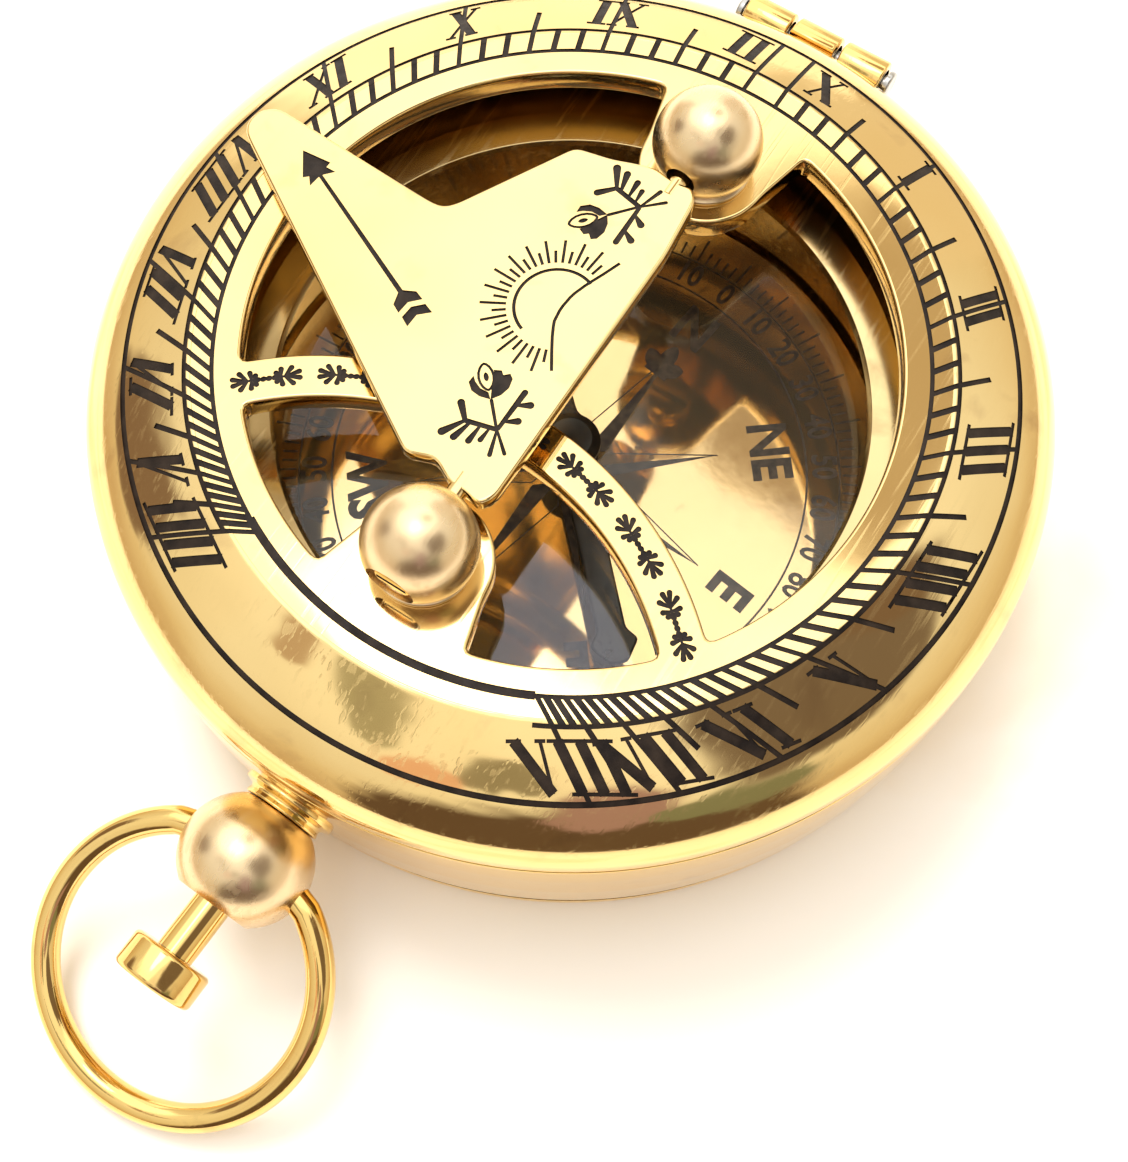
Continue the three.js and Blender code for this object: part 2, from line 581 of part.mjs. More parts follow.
object.add(
  piece('lower_case', lowerCase(), BRASS()),
  piece('compass_dial', dialCard, CARD()),
  piece('compass_wall', compassWall(), BRASS()),
  piece('compass_glass', glassDisc, GLASS()),
  piece('glass_ring', glassRing(), BRASS()),
  piece('needle_pivot', needlePivot(), STEEL()),
  piece('hinge_knuckle_east', knuckle(HINGE_WIDTH / 3, ...CASE_WEB, CASE_RADIUS + 0.03), BRASS()),
  piece('hinge_knuckle_west', knuckle(-HINGE_WIDTH / 3, ...CASE_WEB, CASE_RADIUS + 0.03), BRASS()),
  piece('hinge_pin', hingePin(), STEEL()),
  piece('lift_spring', liftSpring(), STEEL()),
  piece('catch_spring', catchSpring(), STEEL()),
  placeWallScrew(piece('lift_spring_screw', wallScrew(), STEEL()), LIFT_SCREW_BEARING, LIFT_SPRING_Z),
  placeWallScrew(piece('catch_spring_screw', wallScrew(), STEEL()), CATCH_SCREW_BEARING, CATCH_SPRING_Z),
);

object.add(
  piece('sundial_ring', sundialRing(), PALE_BRASS()),
  piece('lid_knuckle', knuckle(0, ...LID_WEB, CASE_RADIUS + 0.02), BRASS()),
  piece('lid_catch_lip', lidCatchLip(), BRASS()),
);

for (const [name, ballY, turn] of [['south', SOUTH_BALL_Y, 0], ['north', NORTH_BALL_Y, Math.PI]]) {
  const post = new THREE.Group();
  post.position.set(0, ballY, DIAL_PLANE_Z + BALL_HEIGHT);
  post.rotation.z = turn;
  const screw = piece(`${name}_post_screw`, postScrew(), BRASS());
  screw.position.z = -BALL_HEIGHT - PLATE;
  post.add(
    piece(`${name}_post`, ballPost(), PALE_BRASS()),
    piece(`${name}_pivot_screw`, pivotScrew(), BRASS()),
    screw,
  );
  object.add(post);
}

const gnomon = piece('gnomon_plate', gnomonPlate(), PALE_BRASS());
gnomon.position.z = DIAL_PLANE_Z + BALL_HEIGHT;
gnomon.rotation.y = -GNOMON_LIE;
object.add(gnomon);

const needle = new THREE.Group();
needle.position.z = NEEDLE_Z;
needle.rotation.z = NEEDLE_BEARING;
needle.add(
  piece('compass_needle', compassNeedle(), BLACKED()),
  piece('needle_hub', needleHub(), BLACKED()),
);
object.add(needle);

const pendant = new THREE.Group();
pendant.position.z = PENDANT_Z;
pendant.rotation.z = PENDANT_BEARING;

const turnedParts = new THREE.Group();
turnedParts.position.y = -PENDANT_REACH;
turnedParts.rotation.x = Math.PI / 2;
turnedParts.add(
  piece('pendant_neck', pendantNeck(), BRASS()),
  piece('pendant_ball', pendantBall(), BRASS()),
  piece('button_spring', buttonSpring(), STEEL()),
  piece('button_stem', buttonStem(), BRASS()),
  piece('button_cap', buttonCap(), BRASS()),
);

const bow = piece('bow_ring', bowRing(), BRASS());
bow.position.y = -PENDANT_REACH;
bow.rotation.x = BOW_HANG;

pendant.add(turnedParts, bow);
object.add(pendant);

export default object;
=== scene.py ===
"""Looks of a brass pocket sundial: an engraved hour ring with a folded gnomon over a compass.

Shapes are worked out in millimetres in the part's own frame and turned into metres when a mesh is
made. +Z is up, +Y is noon and the hinge, -Y the pendant, -X where the folded gnomon points.
Bearings are degrees clockwise from noon as seen from above.
"""
import math

import bmesh
import bpy
import numpy as np
from mathutils import Matrix, Vector
from mathutils.geometry import delaunay_2d_cdt


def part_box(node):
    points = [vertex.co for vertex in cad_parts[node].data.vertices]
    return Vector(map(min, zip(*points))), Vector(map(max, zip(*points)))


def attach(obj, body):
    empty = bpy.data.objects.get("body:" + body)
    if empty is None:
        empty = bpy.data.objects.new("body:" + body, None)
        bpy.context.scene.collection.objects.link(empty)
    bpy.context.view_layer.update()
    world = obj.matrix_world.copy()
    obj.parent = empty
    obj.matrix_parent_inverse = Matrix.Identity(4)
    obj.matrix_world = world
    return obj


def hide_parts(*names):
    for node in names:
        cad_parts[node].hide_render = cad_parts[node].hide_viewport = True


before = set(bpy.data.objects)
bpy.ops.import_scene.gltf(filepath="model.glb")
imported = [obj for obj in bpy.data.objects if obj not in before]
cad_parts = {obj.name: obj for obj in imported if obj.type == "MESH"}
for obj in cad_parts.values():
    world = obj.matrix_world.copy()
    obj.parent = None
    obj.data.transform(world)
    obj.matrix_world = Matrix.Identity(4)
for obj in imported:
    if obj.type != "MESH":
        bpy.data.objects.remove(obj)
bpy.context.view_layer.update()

MM = 0.001
ROUND = 240                     # segments round the large turned pieces
SMALL_ROUND = 72                # and round the small ones


def box_mm(node):
    low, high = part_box(node)
    return low / MM, high / MM


# ---- sizes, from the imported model

RING_LOW, RING_HIGH = box_mm("sundial_ring")
GLASS_LOW, GLASS_HIGH = box_mm("compass_glass")
SLEEVE_LOW, SLEEVE_HIGH = box_mm("compass_wall")
CARD_LOW, CARD_HIGH = box_mm("compass_dial")
POST_LOW, POST_HIGH = box_mm("south_post")
CASE_RADIUS = box_mm("lower_case")[1].x
SEAM_Z = box_mm("lower_case")[1].z
LID_LOW_Z = RING_LOW.z
SEAM_RADIUS = RING_HIGH.x
DIAL_Z = RING_HIGH.z
BALL_RADIUS = (POST_HIGH.x - POST_LOW.x) / 2
BALL_Z = POST_HIGH.z - BALL_RADIUS
CARD_RADIUS = CARD_HIGH.x

PLATE = 1.4                     # thickness of the lid's flat parts
WALL_INNER = 22.7
WINDOW_RADIUS = 16.3            # edge of the lid's opening
BAND_RADIUS = 18.8              # where the flat top ends and the slope begins
BALL_Y = {"north": 12.6, "south": -13.0}
TAB_RADIUS = 3.4
ARCH_CENTRE = (0.0, -22.7)
ARCH_RADIUS = 17.7
ARCH_WIDTH = 2.3
EDGE = 0.16                     # rounding of the sawn edges
ENGRAVED = 0.07                 # depth of the engraving under the brass
TEMPORARY = 9                   # material slot of faces that are left out of the finished mesh
WELD = 0.0006                   # points closer than this are one
SHARP = math.radians(35)        # edges that turn more than this stay crisp
FLAT = 0.999                    # faces whose normals agree this well with a plate's are its flat ones

GNOMON_LIE = -4.4               # degrees about +Y: the folded plate dips towards its point
GNOMON_THICKNESS = 0.9
NEEDLE_TURN = -46               # degrees about +Z from +X
NEEDLE_Z = 5.4
PENDANT_TURN = -2.2             # degrees about +Z
PENDANT_Y = -28.5
PENDANT_Z = 6.8
HINGE_Y = 25.5
HINGE_Z = (SEAM_Z + LID_LOW_Z) / 2
KNUCKLE_RADIUS = 1.2
BOW_RADIUS = 7.6
BOW_CENTRE = 6.8                # from the bow's pivots to the middle of its ring
BOW_WIRE = 0.75
BOW_DROP = PENDANT_Z - BOW_WIRE - 0.02      # down to just above the table
BOW_HANG = math.degrees(math.asin(BOW_DROP / (BOW_RADIUS + BOW_CENTRE)))


# ---- flat outlines

def move(x, y, z=0.0):
    return Matrix.Translation((x, y, z))


def spin(axis, degrees):
    return Matrix.Rotation(math.radians(degrees), 4, axis)


def polar(radius, bearing, centre=(0.0, 0.0)):
    angle = math.radians(bearing)
    return (centre[0] + radius * math.sin(angle), centre[1] + radius * math.cos(angle))


def circle(radius, count=ROUND, centre=(0.0, 0.0)):
    """Points round a circle, anticlockwise from +X, the same ones that turned() uses."""
    turn = 2 * math.pi / count
    return [(centre[0] + radius * math.cos(i * turn), centre[1] + radius * math.sin(i * turn))
            for i in range(count)]


def arc(centre, radius, start, end, steps):
    """Points on an arc between two bearings, both ends included."""
    return [polar(radius, start + (end - start) * i / steps, centre) for i in range(steps + 1)]


def stroke(start, end, width, end_width=None):
    """A straight bar between two points, tapering if its end width is given."""
    a, b = Vector(start), Vector(end)
    side = (b - a).normalized().orthogonal()
    near, far = side * width / 2, side * (end_width or width) / 2
    return [tuple(p) for p in (a - near, b - far, b + far, a + near)]


def club(start, end, width, end_width):
    """A bar that widens to a round end, as a leaf or a bud is cut by a small graver."""
    a, b = Vector(start), Vector(end)
    along = (b - a).normalized()
    side = along.orthogonal()
    half = end_width / 2
    tip = b - along * half
    cap = [math.pi * i / 6 for i in range(7)]
    bulge = [tip - side * half * math.cos(angle) + along * half * math.sin(angle) for angle in cap]
    return [tuple(p) for p in (a - side * width / 2, *bulge, a + side * width / 2)]


def line(points, width, closed=False):
    """A thin line through points, as one short bar for each stretch."""
    bars = []
    for start, end in zip(points, points[1:] + points[:1] if closed else points[1:]):
        a, b = Vector(start), Vector(end)
        overlap = (b - a).normalized() * width * 0.2
        bars.append(stroke(a - overlap, b + overlap, width))
    return bars


def ring_line(radius, width, start=0.0, end=360.0):
    """A thin round line between two bearings, in pieces that meet exactly."""
    step = 360 / ROUND
    first, last = round(start / step), round(end / step)
    inner, outer = radius - width / 2, radius + width / 2
    return [[polar(inner, i * step), polar(inner, (i + 1) * step),
             polar(outer, (i + 1) * step), polar(outer, i * step)] for i in range(first, last)]


def area(loop):
    """The area inside a loop, positive if it runs anticlockwise."""
    return sum(a[0] * b[1] - b[0] * a[1] for a, b in zip(loop, loop[1:] + loop[:1])) / 2


def outwards(radius, bearing, centre=(0.0, 0.0)):
    """The matrix that sets a shape on a circle with its +Y pointing away from the centre."""
    return move(*polar(radius, bearing, centre)) @ spin("Z", -bearing)


def placed(shapes, matrix):
    """Flat shapes moved by a 4x4 matrix."""
    return [[tuple((matrix @ Vector((x, y, 0.0))).xy) for x, y in shape] for shape in shapes]


def evenly(loop, spacing, passes=2):
    """A closed outline with evenly spaced points, its corners eased by a few smoothing passes."""
    points = [Vector(p) for p in loop]
    lengths = [(b - a).length for a, b in zip(points, points[1:] + points[:1])]
    count = max(8, round(sum(lengths) / spacing))
    step = sum(lengths) / count
    result, index, travelled = [], 0, 0.0
    for i in range(count):
        while travelled + lengths[index] < i * step:
            travelled += lengths[index]
            index += 1
        share = (i * step - travelled) / lengths[index]
        result.append(points[index].lerp(points[(index + 1) % len(points)], share))
    for _ in range(passes):
        result = [(result[i - 1] + p * 2 + result[(i + 1) % count]) / 4 for i, p in enumerate(result)]
    return [tuple(p) for p in result]


def outward(loop):
    """For each point of a loop with its material on the left, the mitred vector out of the material."""
    vectors = []
    for i, p in enumerate(loop):
        before = (Vector(p) - Vector(loop[i - 1])).normalized()
        after = (Vector(loop[(i + 1) % len(loop)]) - Vector(p)).normalized()
        middle = (before + after).normalized()
        vectors.append(Vector((middle.y, -middle.x)) / max(0.6, middle.dot(after)))
    return vectors


def inside(places, loop):
    """Which of the places lie inside a closed outline, by counting the edges crossed on the way in."""
    corners = np.array(loop)
    low, high = corners.min(0), corners.max(0)
    near = np.flatnonzero(((places > low) & (places < high)).all(1))
    x, y = places[near, 0, None], places[near, 1, None]
    (ax, ay), (bx, by) = corners.T, np.roll(corners, -1, 0).T
    level = (ay > y) != (by > y)
    rise = np.where(by == ay, 1.0, by - ay)
    crossed = level & (x < ax + (y - ay) * (bx - ax) / rise)
    found = np.zeros(len(places), bool)
    found[near] = crossed.sum(1) % 2 == 1
    return found


def triangulate(outline, gaps, figures, guides=()):
    """The sheet inside outline and outside gaps in triangles that follow every figure's edges.
    Returns the points, and each triangle with whether a figure covers it. A figure is a list of
    points, or a pair ("hole", points) that cuts out of the figures, as inside a printed 0."""
    holes = [f[1] for f in figures if f[0] == "hole"]
    figures = [f for f in figures if f[0] != "hole"]
    points, edges = [], []
    for loop in [outline, *gaps, *holes, *figures, *guides]:
        first = len(points)
        points += [Vector(p) for p in loop]
        edges += [(first + i, first + (i + 1) % len(loop)) for i in range(len(loop))]
    coords, _, triangles, sources, _, _ = delaunay_2d_cdt(points, edges, [], 0, 1e-5)
    exact = [tuple(points[s[0]]) if s else tuple(c) for c, s in zip(coords, sources)]
    centres = np.array(exact)[np.array(triangles)].mean(1)
    covered, kept = np.zeros(len(triangles), bool), inside(centres, outline)
    for loop in gaps:
        kept &= ~inside(centres, loop)
    for loop in figures:
        covered |= inside(centres, loop)
    for loop in holes:
        covered &= ~inside(centres, loop)
    return exact, [(t, bool(c)) for t, c, k in zip(triangles, covered, kept) if k]


def chains(following):
    """The closed loops in a table that gives the point after each point."""
    loops = []
    while following:
        start, current = following.popitem()
        loop = [start]
        while current != start:
            loop.append(current)
            current = following.pop(current)
        loops.append(loop)
    return loops


def edge_loops(triangles):
    """The closed boundary loops of a set of triangles, each with the triangles on its left."""
    directed = {(t[i], t[(i + 1) % 3]) for t in triangles for i in range(3)}
    return chains({a: b for a, b in directed if (b, a) not in directed})


# ---- meshes

def new_object(name, data):
    obj = bpy.data.objects.new(name, data)
    bpy.context.scene.collection.objects.link(obj)
    return obj


def evaluated_mesh(obj):
    bpy.context.view_layer.update()
    return bpy.data.meshes.new_from_object(obj.evaluated_get(bpy.context.evaluated_depsgraph_get()))



class Shell:
    """Faces gathered in millimetres, sharing points that lie within a micron of each other."""

    def __init__(self):
        self.points, self.index, self.faces, self.slots = [], {}, [], []

    def point(self, x, y, z):
        key = (round(x, 3), round(y, 3), round(z, 3))
        if key not in self.index:
            self.index[key] = len(self.points)
            self.points.append((x, y, z))
        return self.index[key]

    def face(self, corners, slot=0):
        indices = []
        for corner in corners:
            i = self.point(*corner)
            if i not in indices:
                indices.append(i)
        if len(indices) > 2:
            self.faces.append(indices)
            self.slots.append(slot)

    def add(self, other):
        for corners, slot in zip(other.faces, other.slots):
            self.face([other.points[i] for i in corners], slot)

    def turn(self, matrix):
        self.points = [tuple(matrix @ Vector(p)) for p in self.points]
        return self

    def build(self, name, materials, matrix=Matrix.Identity(4)):
        mesh = bpy.data.meshes.new(name)
        mesh.from_pydata([matrix @ Vector(p) * MM for p in self.points], [], self.faces)
        for material in materials:
            mesh.materials.append(material)
        mesh.polygons.foreach_set("material_index", self.slots)
        welded = bmesh.new()
        welded.from_mesh(mesh)
        bmesh.ops.remove_doubles(welded, verts=welded.verts, dist=WELD * MM)
        welded.to_mesh(mesh)
        welded.free()
        mesh.shade_smooth()
        mesh.set_sharp_from_angle(angle=SHARP)
        return new_object(name, mesh)


def rounded(profile, steps=5):
    """A profile of (radius, height) or (radius, height, rounding) points with its corners rounded."""
    points = []
    for i, corner in enumerate(profile):
        here = Vector(corner[:2])
        if len(corner) < 3:
            points.append(tuple(here))
            continue
        before = Vector(profile[i - 1][:2]) - here
        after = Vector(profile[(i + 1) % len(profile)][:2]) - here
        half = before.angle(after) / 2
        reach = min(corner[2] / math.tan(half), before.length * 0.49, after.length * 0.49)
        radius = reach * math.tan(half)
        centre = here + (before.normalized() + after.normalized()).normalized() * radius / math.sin(half)
        start = here + before.normalized() * reach - centre
        end = here + after.normalized() * reach - centre
        sweep = math.pi - 2 * half
        for k in range(steps + 1):
            share = k / steps
            mixed = start * math.sin((1 - share) * sweep) + end * math.sin(share * sweep)
            points.append(tuple(centre + mixed / math.sin(sweep)))
    return points


def bowed(points, steps=6):
    """A smooth curve through (radius, height) points."""
    ends = [points[0], *points, points[-1]]
    curve = []
    for a, b, c, d in zip(ends, ends[1:], ends[2:], ends[3:]):
        for k in range(steps):
            t = k / steps
            curve.append(tuple(0.5 * (2 * q + (r - p) * t + (2 * p - 5 * q + 4 * r - s) * t * t
                                      + (3 * q - p - 3 * r + s) * t * t * t)
                               for p, q, r, s in zip(a, b, c, d)))
    return curve + [tuple(points[-1])]


def turned(shell, profile, count=SMALL_ROUND, slot=0, closed=False):
    """A turned surface about +Z, from a profile listed anticlockwise in the radius-height plane."""
    pairs = list(zip(profile, profile[1:] + profile[:1]))
    for (r0, z0), (r1, z1) in pairs if closed else pairs[:-1]:
        low, high = circle(r0, count), circle(r1, count)
        for i in range(count):
            j = (i + 1) % count
            shell.face([(*low[i], z0), (*low[j], z0), (*high[j], z1), (*high[i], z1)], slot)


def sheet(shell, parts, height, depth=ENGRAVED, up=True):
    """A triangulated sheet at height(x, y), its figures in slot 1 and sunk by depth between walls."""
    points, triangles = parts
    covered = {}
    for triangle, figure in triangles:
        corners = []
        for i in triangle if up else triangle[::-1]:
            x, y = points[i]
            corners.append((x, y, height(x, y) - (depth if figure else 0.0)))
        shell.face(corners, int(figure))
        for k in range(3):
            covered[(triangle[k], triangle[(k + 1) % 3])] = figure
    if not depth:
        return
    for (a, b), figure in covered.items():
        if not figure and covered.get((b, a)):
            (ax, ay), (bx, by) = points[a], points[b]
            az, bz = height(ax, ay), height(bx, by)
            shell.face([(ax, ay, az), (ax, ay, az - depth), (bx, by, bz - depth), (bx, by, bz)], 1)


def sawn_edge(shell, loop, low, high):
    """The rounded edge of a plate along a loop that has its material on the left. Returns the loop
    where the flat faces begin."""
    vectors = outward(loop)
    rows = [(EDGE * (1 - math.sin(angle)), high - EDGE * (1 - math.cos(angle)))
            for angle in (math.pi / 2 * k / 3 for k in range(4))]
    rows += [(inset, low + high - z) for inset, z in rows[::-1]]
    for (inset, z), (next_inset, next_z) in zip(rows, rows[1:]):
        for i in range(len(loop)):
            j = (i + 1) % len(loop)
            p, q, m, n = Vector(loop[i]), Vector(loop[j]), vectors[i], vectors[j]
            shell.face([(*(p - m * inset), z), (*(p - m * next_inset), next_z),
                        (*(q - n * next_inset), next_z), (*(q - n * inset), z)])
    return [tuple(Vector(p) - m * EDGE) for p, m in zip(loop, vectors)]


def plate(shell, loop, low, high, figures=(), depth=ENGRAVED):
    """A flat plate with rounded edges and figures cut into its upper face."""
    face_loop = sawn_edge(shell, loop if area(loop) > 0 else loop[::-1], low, high)
    sheet(shell, triangulate(face_loop, [], figures), lambda x, y: high, depth)
    sheet(shell, triangulate(face_loop, [], []), lambda x, y: low, 0.0, False)


def tube(shell, path, radius, sides=20):
    """A round wire along a path of points, closed at both ends."""
    points = [Vector(p) for p in path]
    normal = Vector((0.0, 0.0, 1.0))
    rings = []
    for i, p in enumerate(points):
        along = (points[min(i + 1, len(points) - 1)] - points[max(i - 1, 0)]).normalized()
        side = along.cross(normal).normalized()
        normal = side.cross(along).normalized()
        rings.append([tuple(p + side * x + normal * y) for x, y in circle(radius, sides)])
    for near, far in zip(rings, rings[1:]):
        for k in range(sides):
            m = (k + 1) % sides
            shell.face([near[k], far[k], far[m], near[m]])
    shell.face(rings[0])
    shell.face(rings[-1][::-1])


def flat_normals(obj, rule):
    """Gives the corners of smooth faces the true normal that rule(point, face normal) returns, so
    that reflections don't show the triangles. None leaves Blender's own."""
    mesh = obj.data
    normals = [(0.0, 0.0, 0.0)] * len(mesh.loops)
    for polygon in mesh.polygons:
        for i in polygon.loop_indices:
            true = rule(mesh.vertices[mesh.loops[i].vertex_index].co / MM, polygon.normal)
            if true is not None:
                normals[i] = tuple(true)
    mesh.normals_split_custom_set(normals)


def cut_away(closed, cutter):
    """The closed shell without the cutter's volume, as a new shell. Faces in slot TEMPORARY, which
    only closed it for the cut, are left out."""
    objects = [closed.build("cut_from", []), cutter.build("cutter", [])]
    modifier = objects[0].modifiers.new("cut", "BOOLEAN")
    modifier.object = objects[1]
    modifier.solver = "EXACT"
    mesh = evaluated_mesh(objects[0])
    result = Shell()
    for polygon in mesh.polygons:
        if polygon.material_index != TEMPORARY:
            result.face([tuple(mesh.vertices[i].co / MM) for i in polygon.vertices])
    for obj in objects:
        bpy.data.objects.remove(obj)
    bpy.data.meshes.remove(mesh)
    return result


def finish_piece(obj, body, node):
    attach(obj, body)
    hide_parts(node)


# ---- materials

class Nodes:
    """The node tree of a material or a world. Uniform numbers go straight onto the sockets."""

    def __init__(self, owner, coordinates="Object"):
        owner.use_nodes = True
        self.owner, self.tree = owner, owner.node_tree
        self.place = self.add("ShaderNodeTexCoord").outputs[coordinates]

    def add(self, kind, **settings):
        node = self.tree.nodes.new(kind)
        for key, value in settings.items():
            setattr(node, key, value)
        return node

    def feed(self, socket, value):
        """Links an output to the socket, or sets a number or a colour there."""
        if isinstance(value, bpy.types.NodeSocket):
            self.tree.links.new(value, socket)
        elif socket.type == "RGBA":
            socket.default_value = (*value, 1.0)
        else:
            socket.default_value = value

    def surface(self, **values):
        shader = self.tree.nodes["Principled BSDF"]
        for key, value in values.items():
            self.feed(shader.inputs[key.replace("_", " ")], value)

    def noise(self, scale, detail=4.0, stretch=(1, 1, 1), turn=0.0, distortion=0.0, output="Fac"):
        """Noise over the tree's coordinates: on an object, scale counts features to the metre."""
        mapping = self.add("ShaderNodeMapping")
        mapping.inputs["Scale"].default_value = stretch
        mapping.inputs["Rotation"].default_value = (0.0, 0.0, math.radians(turn))
        self.feed(mapping.inputs["Vector"], self.place)
        texture = self.add("ShaderNodeTexNoise")
        texture.inputs["Scale"].default_value = scale
        texture.inputs["Detail"].default_value = detail
        texture.inputs["Distortion"].default_value = distortion
        self.feed(texture.inputs["Vector"], mapping.outputs["Vector"])
        return texture.outputs[output]

    def ramp(self, source, *stops):
        """A colour or a grey for each share: stops are (share, colour or number)."""
        node = self.add("ShaderNodeValToRGB")
        elements = node.color_ramp.elements
        while len(elements) < len(stops):
            elements.new(0.5)
        for element, (share, value) in zip(elements, stops):
            element.position = share
            element.color = (*value, 1.0) if isinstance(value, tuple) else (value, value, value, 1.0)
        self.feed(node.inputs["Fac"], source)
        return node.outputs["Color"]

    def mix(self, share, first, second):
        """Two colours mixed."""
        node = self.add("ShaderNodeMix", data_type="RGBA")
        for index, value in ((0, share), (6, first), (7, second)):
            self.feed(node.inputs[index], value)
        return node.outputs[2]

    def compute(self, operation, *values, kind="ShaderNodeMath", output=0):
        """A math node over numbers and outputs."""
        node = self.add(kind, operation=operation)
        for socket, value in zip(node.inputs, values):
            self.feed(socket, value)
        return node.outputs[output]

    def bump(self, height, strength, distance):
        node = self.add("ShaderNodeBump")
        for name, value in (("Height", height), ("Strength", strength), ("Distance", distance)):
            self.feed(node.inputs[name], value)
        self.surface(Normal=node.outputs["Normal"])

    def show(self, output, share, first, second):
        """Sends two shaders, mixed, to the tree's output node."""
        node = self.add("ShaderNodeMixShader")
        for socket, value in zip(node.inputs, (share, first, second)):
            self.feed(socket, value)
        self.feed(self.tree.nodes[output].inputs["Surface"], node.outputs[0])


def polished_brass(name, light, deep, tarnish, gloss, scratches):
    """Handled brass: a warm tone that drifts between light and deep, brown tarnish in soft spots,
    and hairline scratches in crossing directions."""
    n = Nodes(bpy.data.materials.new(name))
    drift = n.ramp(n.noise(70, 3), (0.35, light), (0.7, deep))
    spots = n.ramp(n.noise(260, 6, distortion=0.4), (0.60, 0.0), (0.78, 0.55))
    hair = [n.ramp(n.noise(scratches, 2, (1, 0.03, 1), turn), (0.62, 0.0), (0.68, 1.0))
            for turn in (18, 75, -40)]
    scratch = n.compute("MAXIMUM", n.compute("MAXIMUM", hair[0], hair[1]), hair[2])
    cloud = n.ramp(n.noise(180, 5), (0.3, gloss), (0.75, gloss + 0.07))
    n.surface(Base_Color=n.mix(spots, drift, tarnish), Metallic=1.0,
              Roughness=n.compute("MULTIPLY_ADD", scratch, 0.08, cloud))
    cut = n.compute("MULTIPLY", scratch, -0.6)
    n.bump(n.compute("MULTIPLY_ADD", n.noise(900, 3), 0.5, cut), 0.35, 0.000004)
    return n.owner


def finish(name, colour, rough, bump=(), grain=(1, 1, 1), **settings):
    """A finish broken up by noise: colour is (scale, detail, (share, colour), (share, colour)), rough
    (scale, detail, lowest, highest) and bump (scale, detail, strength, depth in metres)."""
    n = Nodes(bpy.data.materials.new(name))
    n.surface(Base_Color=n.ramp(n.noise(*colour[:2]), *colour[2:]), **settings)
    low, high = rough[2:]
    n.surface(Roughness=n.ramp(n.noise(*rough[:2], grain), (0.3, low), (0.8, high)))
    if bump:
        n.bump(n.noise(*bump[:2], grain), *bump[2:])
    return n.owner


def card_gilt():
    n = Nodes(bpy.data.materials.new("card_gilt"))
    tone = n.ramp(n.noise(90, 4), (0.3, (0.76, 0.54, 0.28)), (0.7, (0.83, 0.61, 0.34)))
    foxing = n.ramp(n.noise(500, 5), (0.66, 0.0), (0.8, 0.35))
    n.surface(Base_Color=n.mix(foxing, tone, (0.5, 0.3, 0.13)), Metallic=0.92,
              Roughness=n.ramp(n.noise(1200, 3), (0.3, 0.035), (0.8, 0.09)))
    n.bump(n.noise(2200, 3), 0.2, 0.000004)
    return n.owner


def clear_glass():
    """A flat pane: light goes straight through, and only the side it enters by is glossy."""
    n = Nodes(bpy.data.materials.new("clear_glass"))
    n.tree.nodes.remove(n.tree.nodes["Principled BSDF"])
    clear = n.add("ShaderNodeBsdfTransparent")
    n.feed(clear.inputs["Color"], (0.97, 0.97, 0.95))
    gloss = n.add("ShaderNodeBsdfGlossy")
    n.feed(gloss.inputs["Roughness"], n.ramp(n.noise(160, 5, distortion=0.6), (0.3, 0.015), (0.8, 0.07)))
    fresnel = n.add("ShaderNodeFresnel")
    fresnel.inputs["IOR"].default_value = 1.5
    front = n.compute("SUBTRACT", 1.0, n.add("ShaderNodeNewGeometry").outputs["Backfacing"])
    mirrored = n.compute("MULTIPLY", fresnel.outputs[0], front)
    n.show("Material Output", mirrored, clear.outputs[0], gloss.outputs[0])
    return n.owner


def table_top():
    n = Nodes(bpy.data.materials.new("table_top"))
    patchy = n.noise(28, 5, distortion=0.3)
    n.surface(Base_Color=n.ramp(patchy, (0.34, (0.87, 0.77, 0.60)), (0.48, (0.96, 0.95, 0.92))),
              Roughness=0.7)
    n.bump(n.noise(500, 4), 0.15, 0.00004)
    return n.owner


CASE_BRASS = polished_brass("case_brass", (0.87, 0.62, 0.24), (0.81, 0.54, 0.18),
                            (0.42, 0.24, 0.10), 0.035, 2400)
DIAL_BRASS = polished_brass("dial_brass", (0.90, 0.68, 0.32), (0.84, 0.60, 0.25),
                            (0.52, 0.33, 0.16), 0.045, 3000)
# Brass for the compass sleeve and bezel down in the case: rougher than the case, and its darker colour and
# tarnish are painted shade.
SHADED_INNER_BRASS = polished_brass("shaded_inner_brass", (0.60, 0.47, 0.24), (0.48, 0.35, 0.16),
                             (0.26, 0.15, 0.07), 0.12, 1500)
BALL_BRASS = polished_brass("ball_brass", (0.88, 0.70, 0.44), (0.80, 0.58, 0.34),
                            (0.66, 0.46, 0.27), 0.25, 2000)
# Black wax in the engravings; on the screw heads the same black is painted shade in their slots.
BLACK_FILL_AND_SLOT_SHADE = finish("engraving_black_and_slot_shade", (900, 4, (0.35, (0.008, 0.005, 0.004)), (0.75, (0.03, 0.02, 0.014))),
                    (1500, 3, 0.32, 0.6), (2600, 4, 0.6, 0.00003), Specular_IOR_Level=0.2)
INK = finish("printed_ink", (1800, 4, (0.35, (0.03, 0.02, 0.016)), (0.8, (0.11, 0.075, 0.05))),
             (2000, 2, 0.4, 0.6))
LACQUER = finish("black_lacquer", (700, 4, (0.4, (0.010, 0.008, 0.007)), (0.75, (0.035, 0.026, 0.02))),
                 (900, 4, 0.25, 0.5), (1600, 3, 0.4, 0.00001))
STEEL = finish("spring_steel", (300, 4, (0.3, (0.42, 0.42, 0.42)), (0.75, (0.60, 0.59, 0.57))),
               (1200, 4, 0.22, 0.42), (2200, 2, 0.3, 0.000006), (1, 1, 0.05), Metallic=1.0)
CARD = card_gilt()
GLASS = clear_glass()


# ---- the hour scale

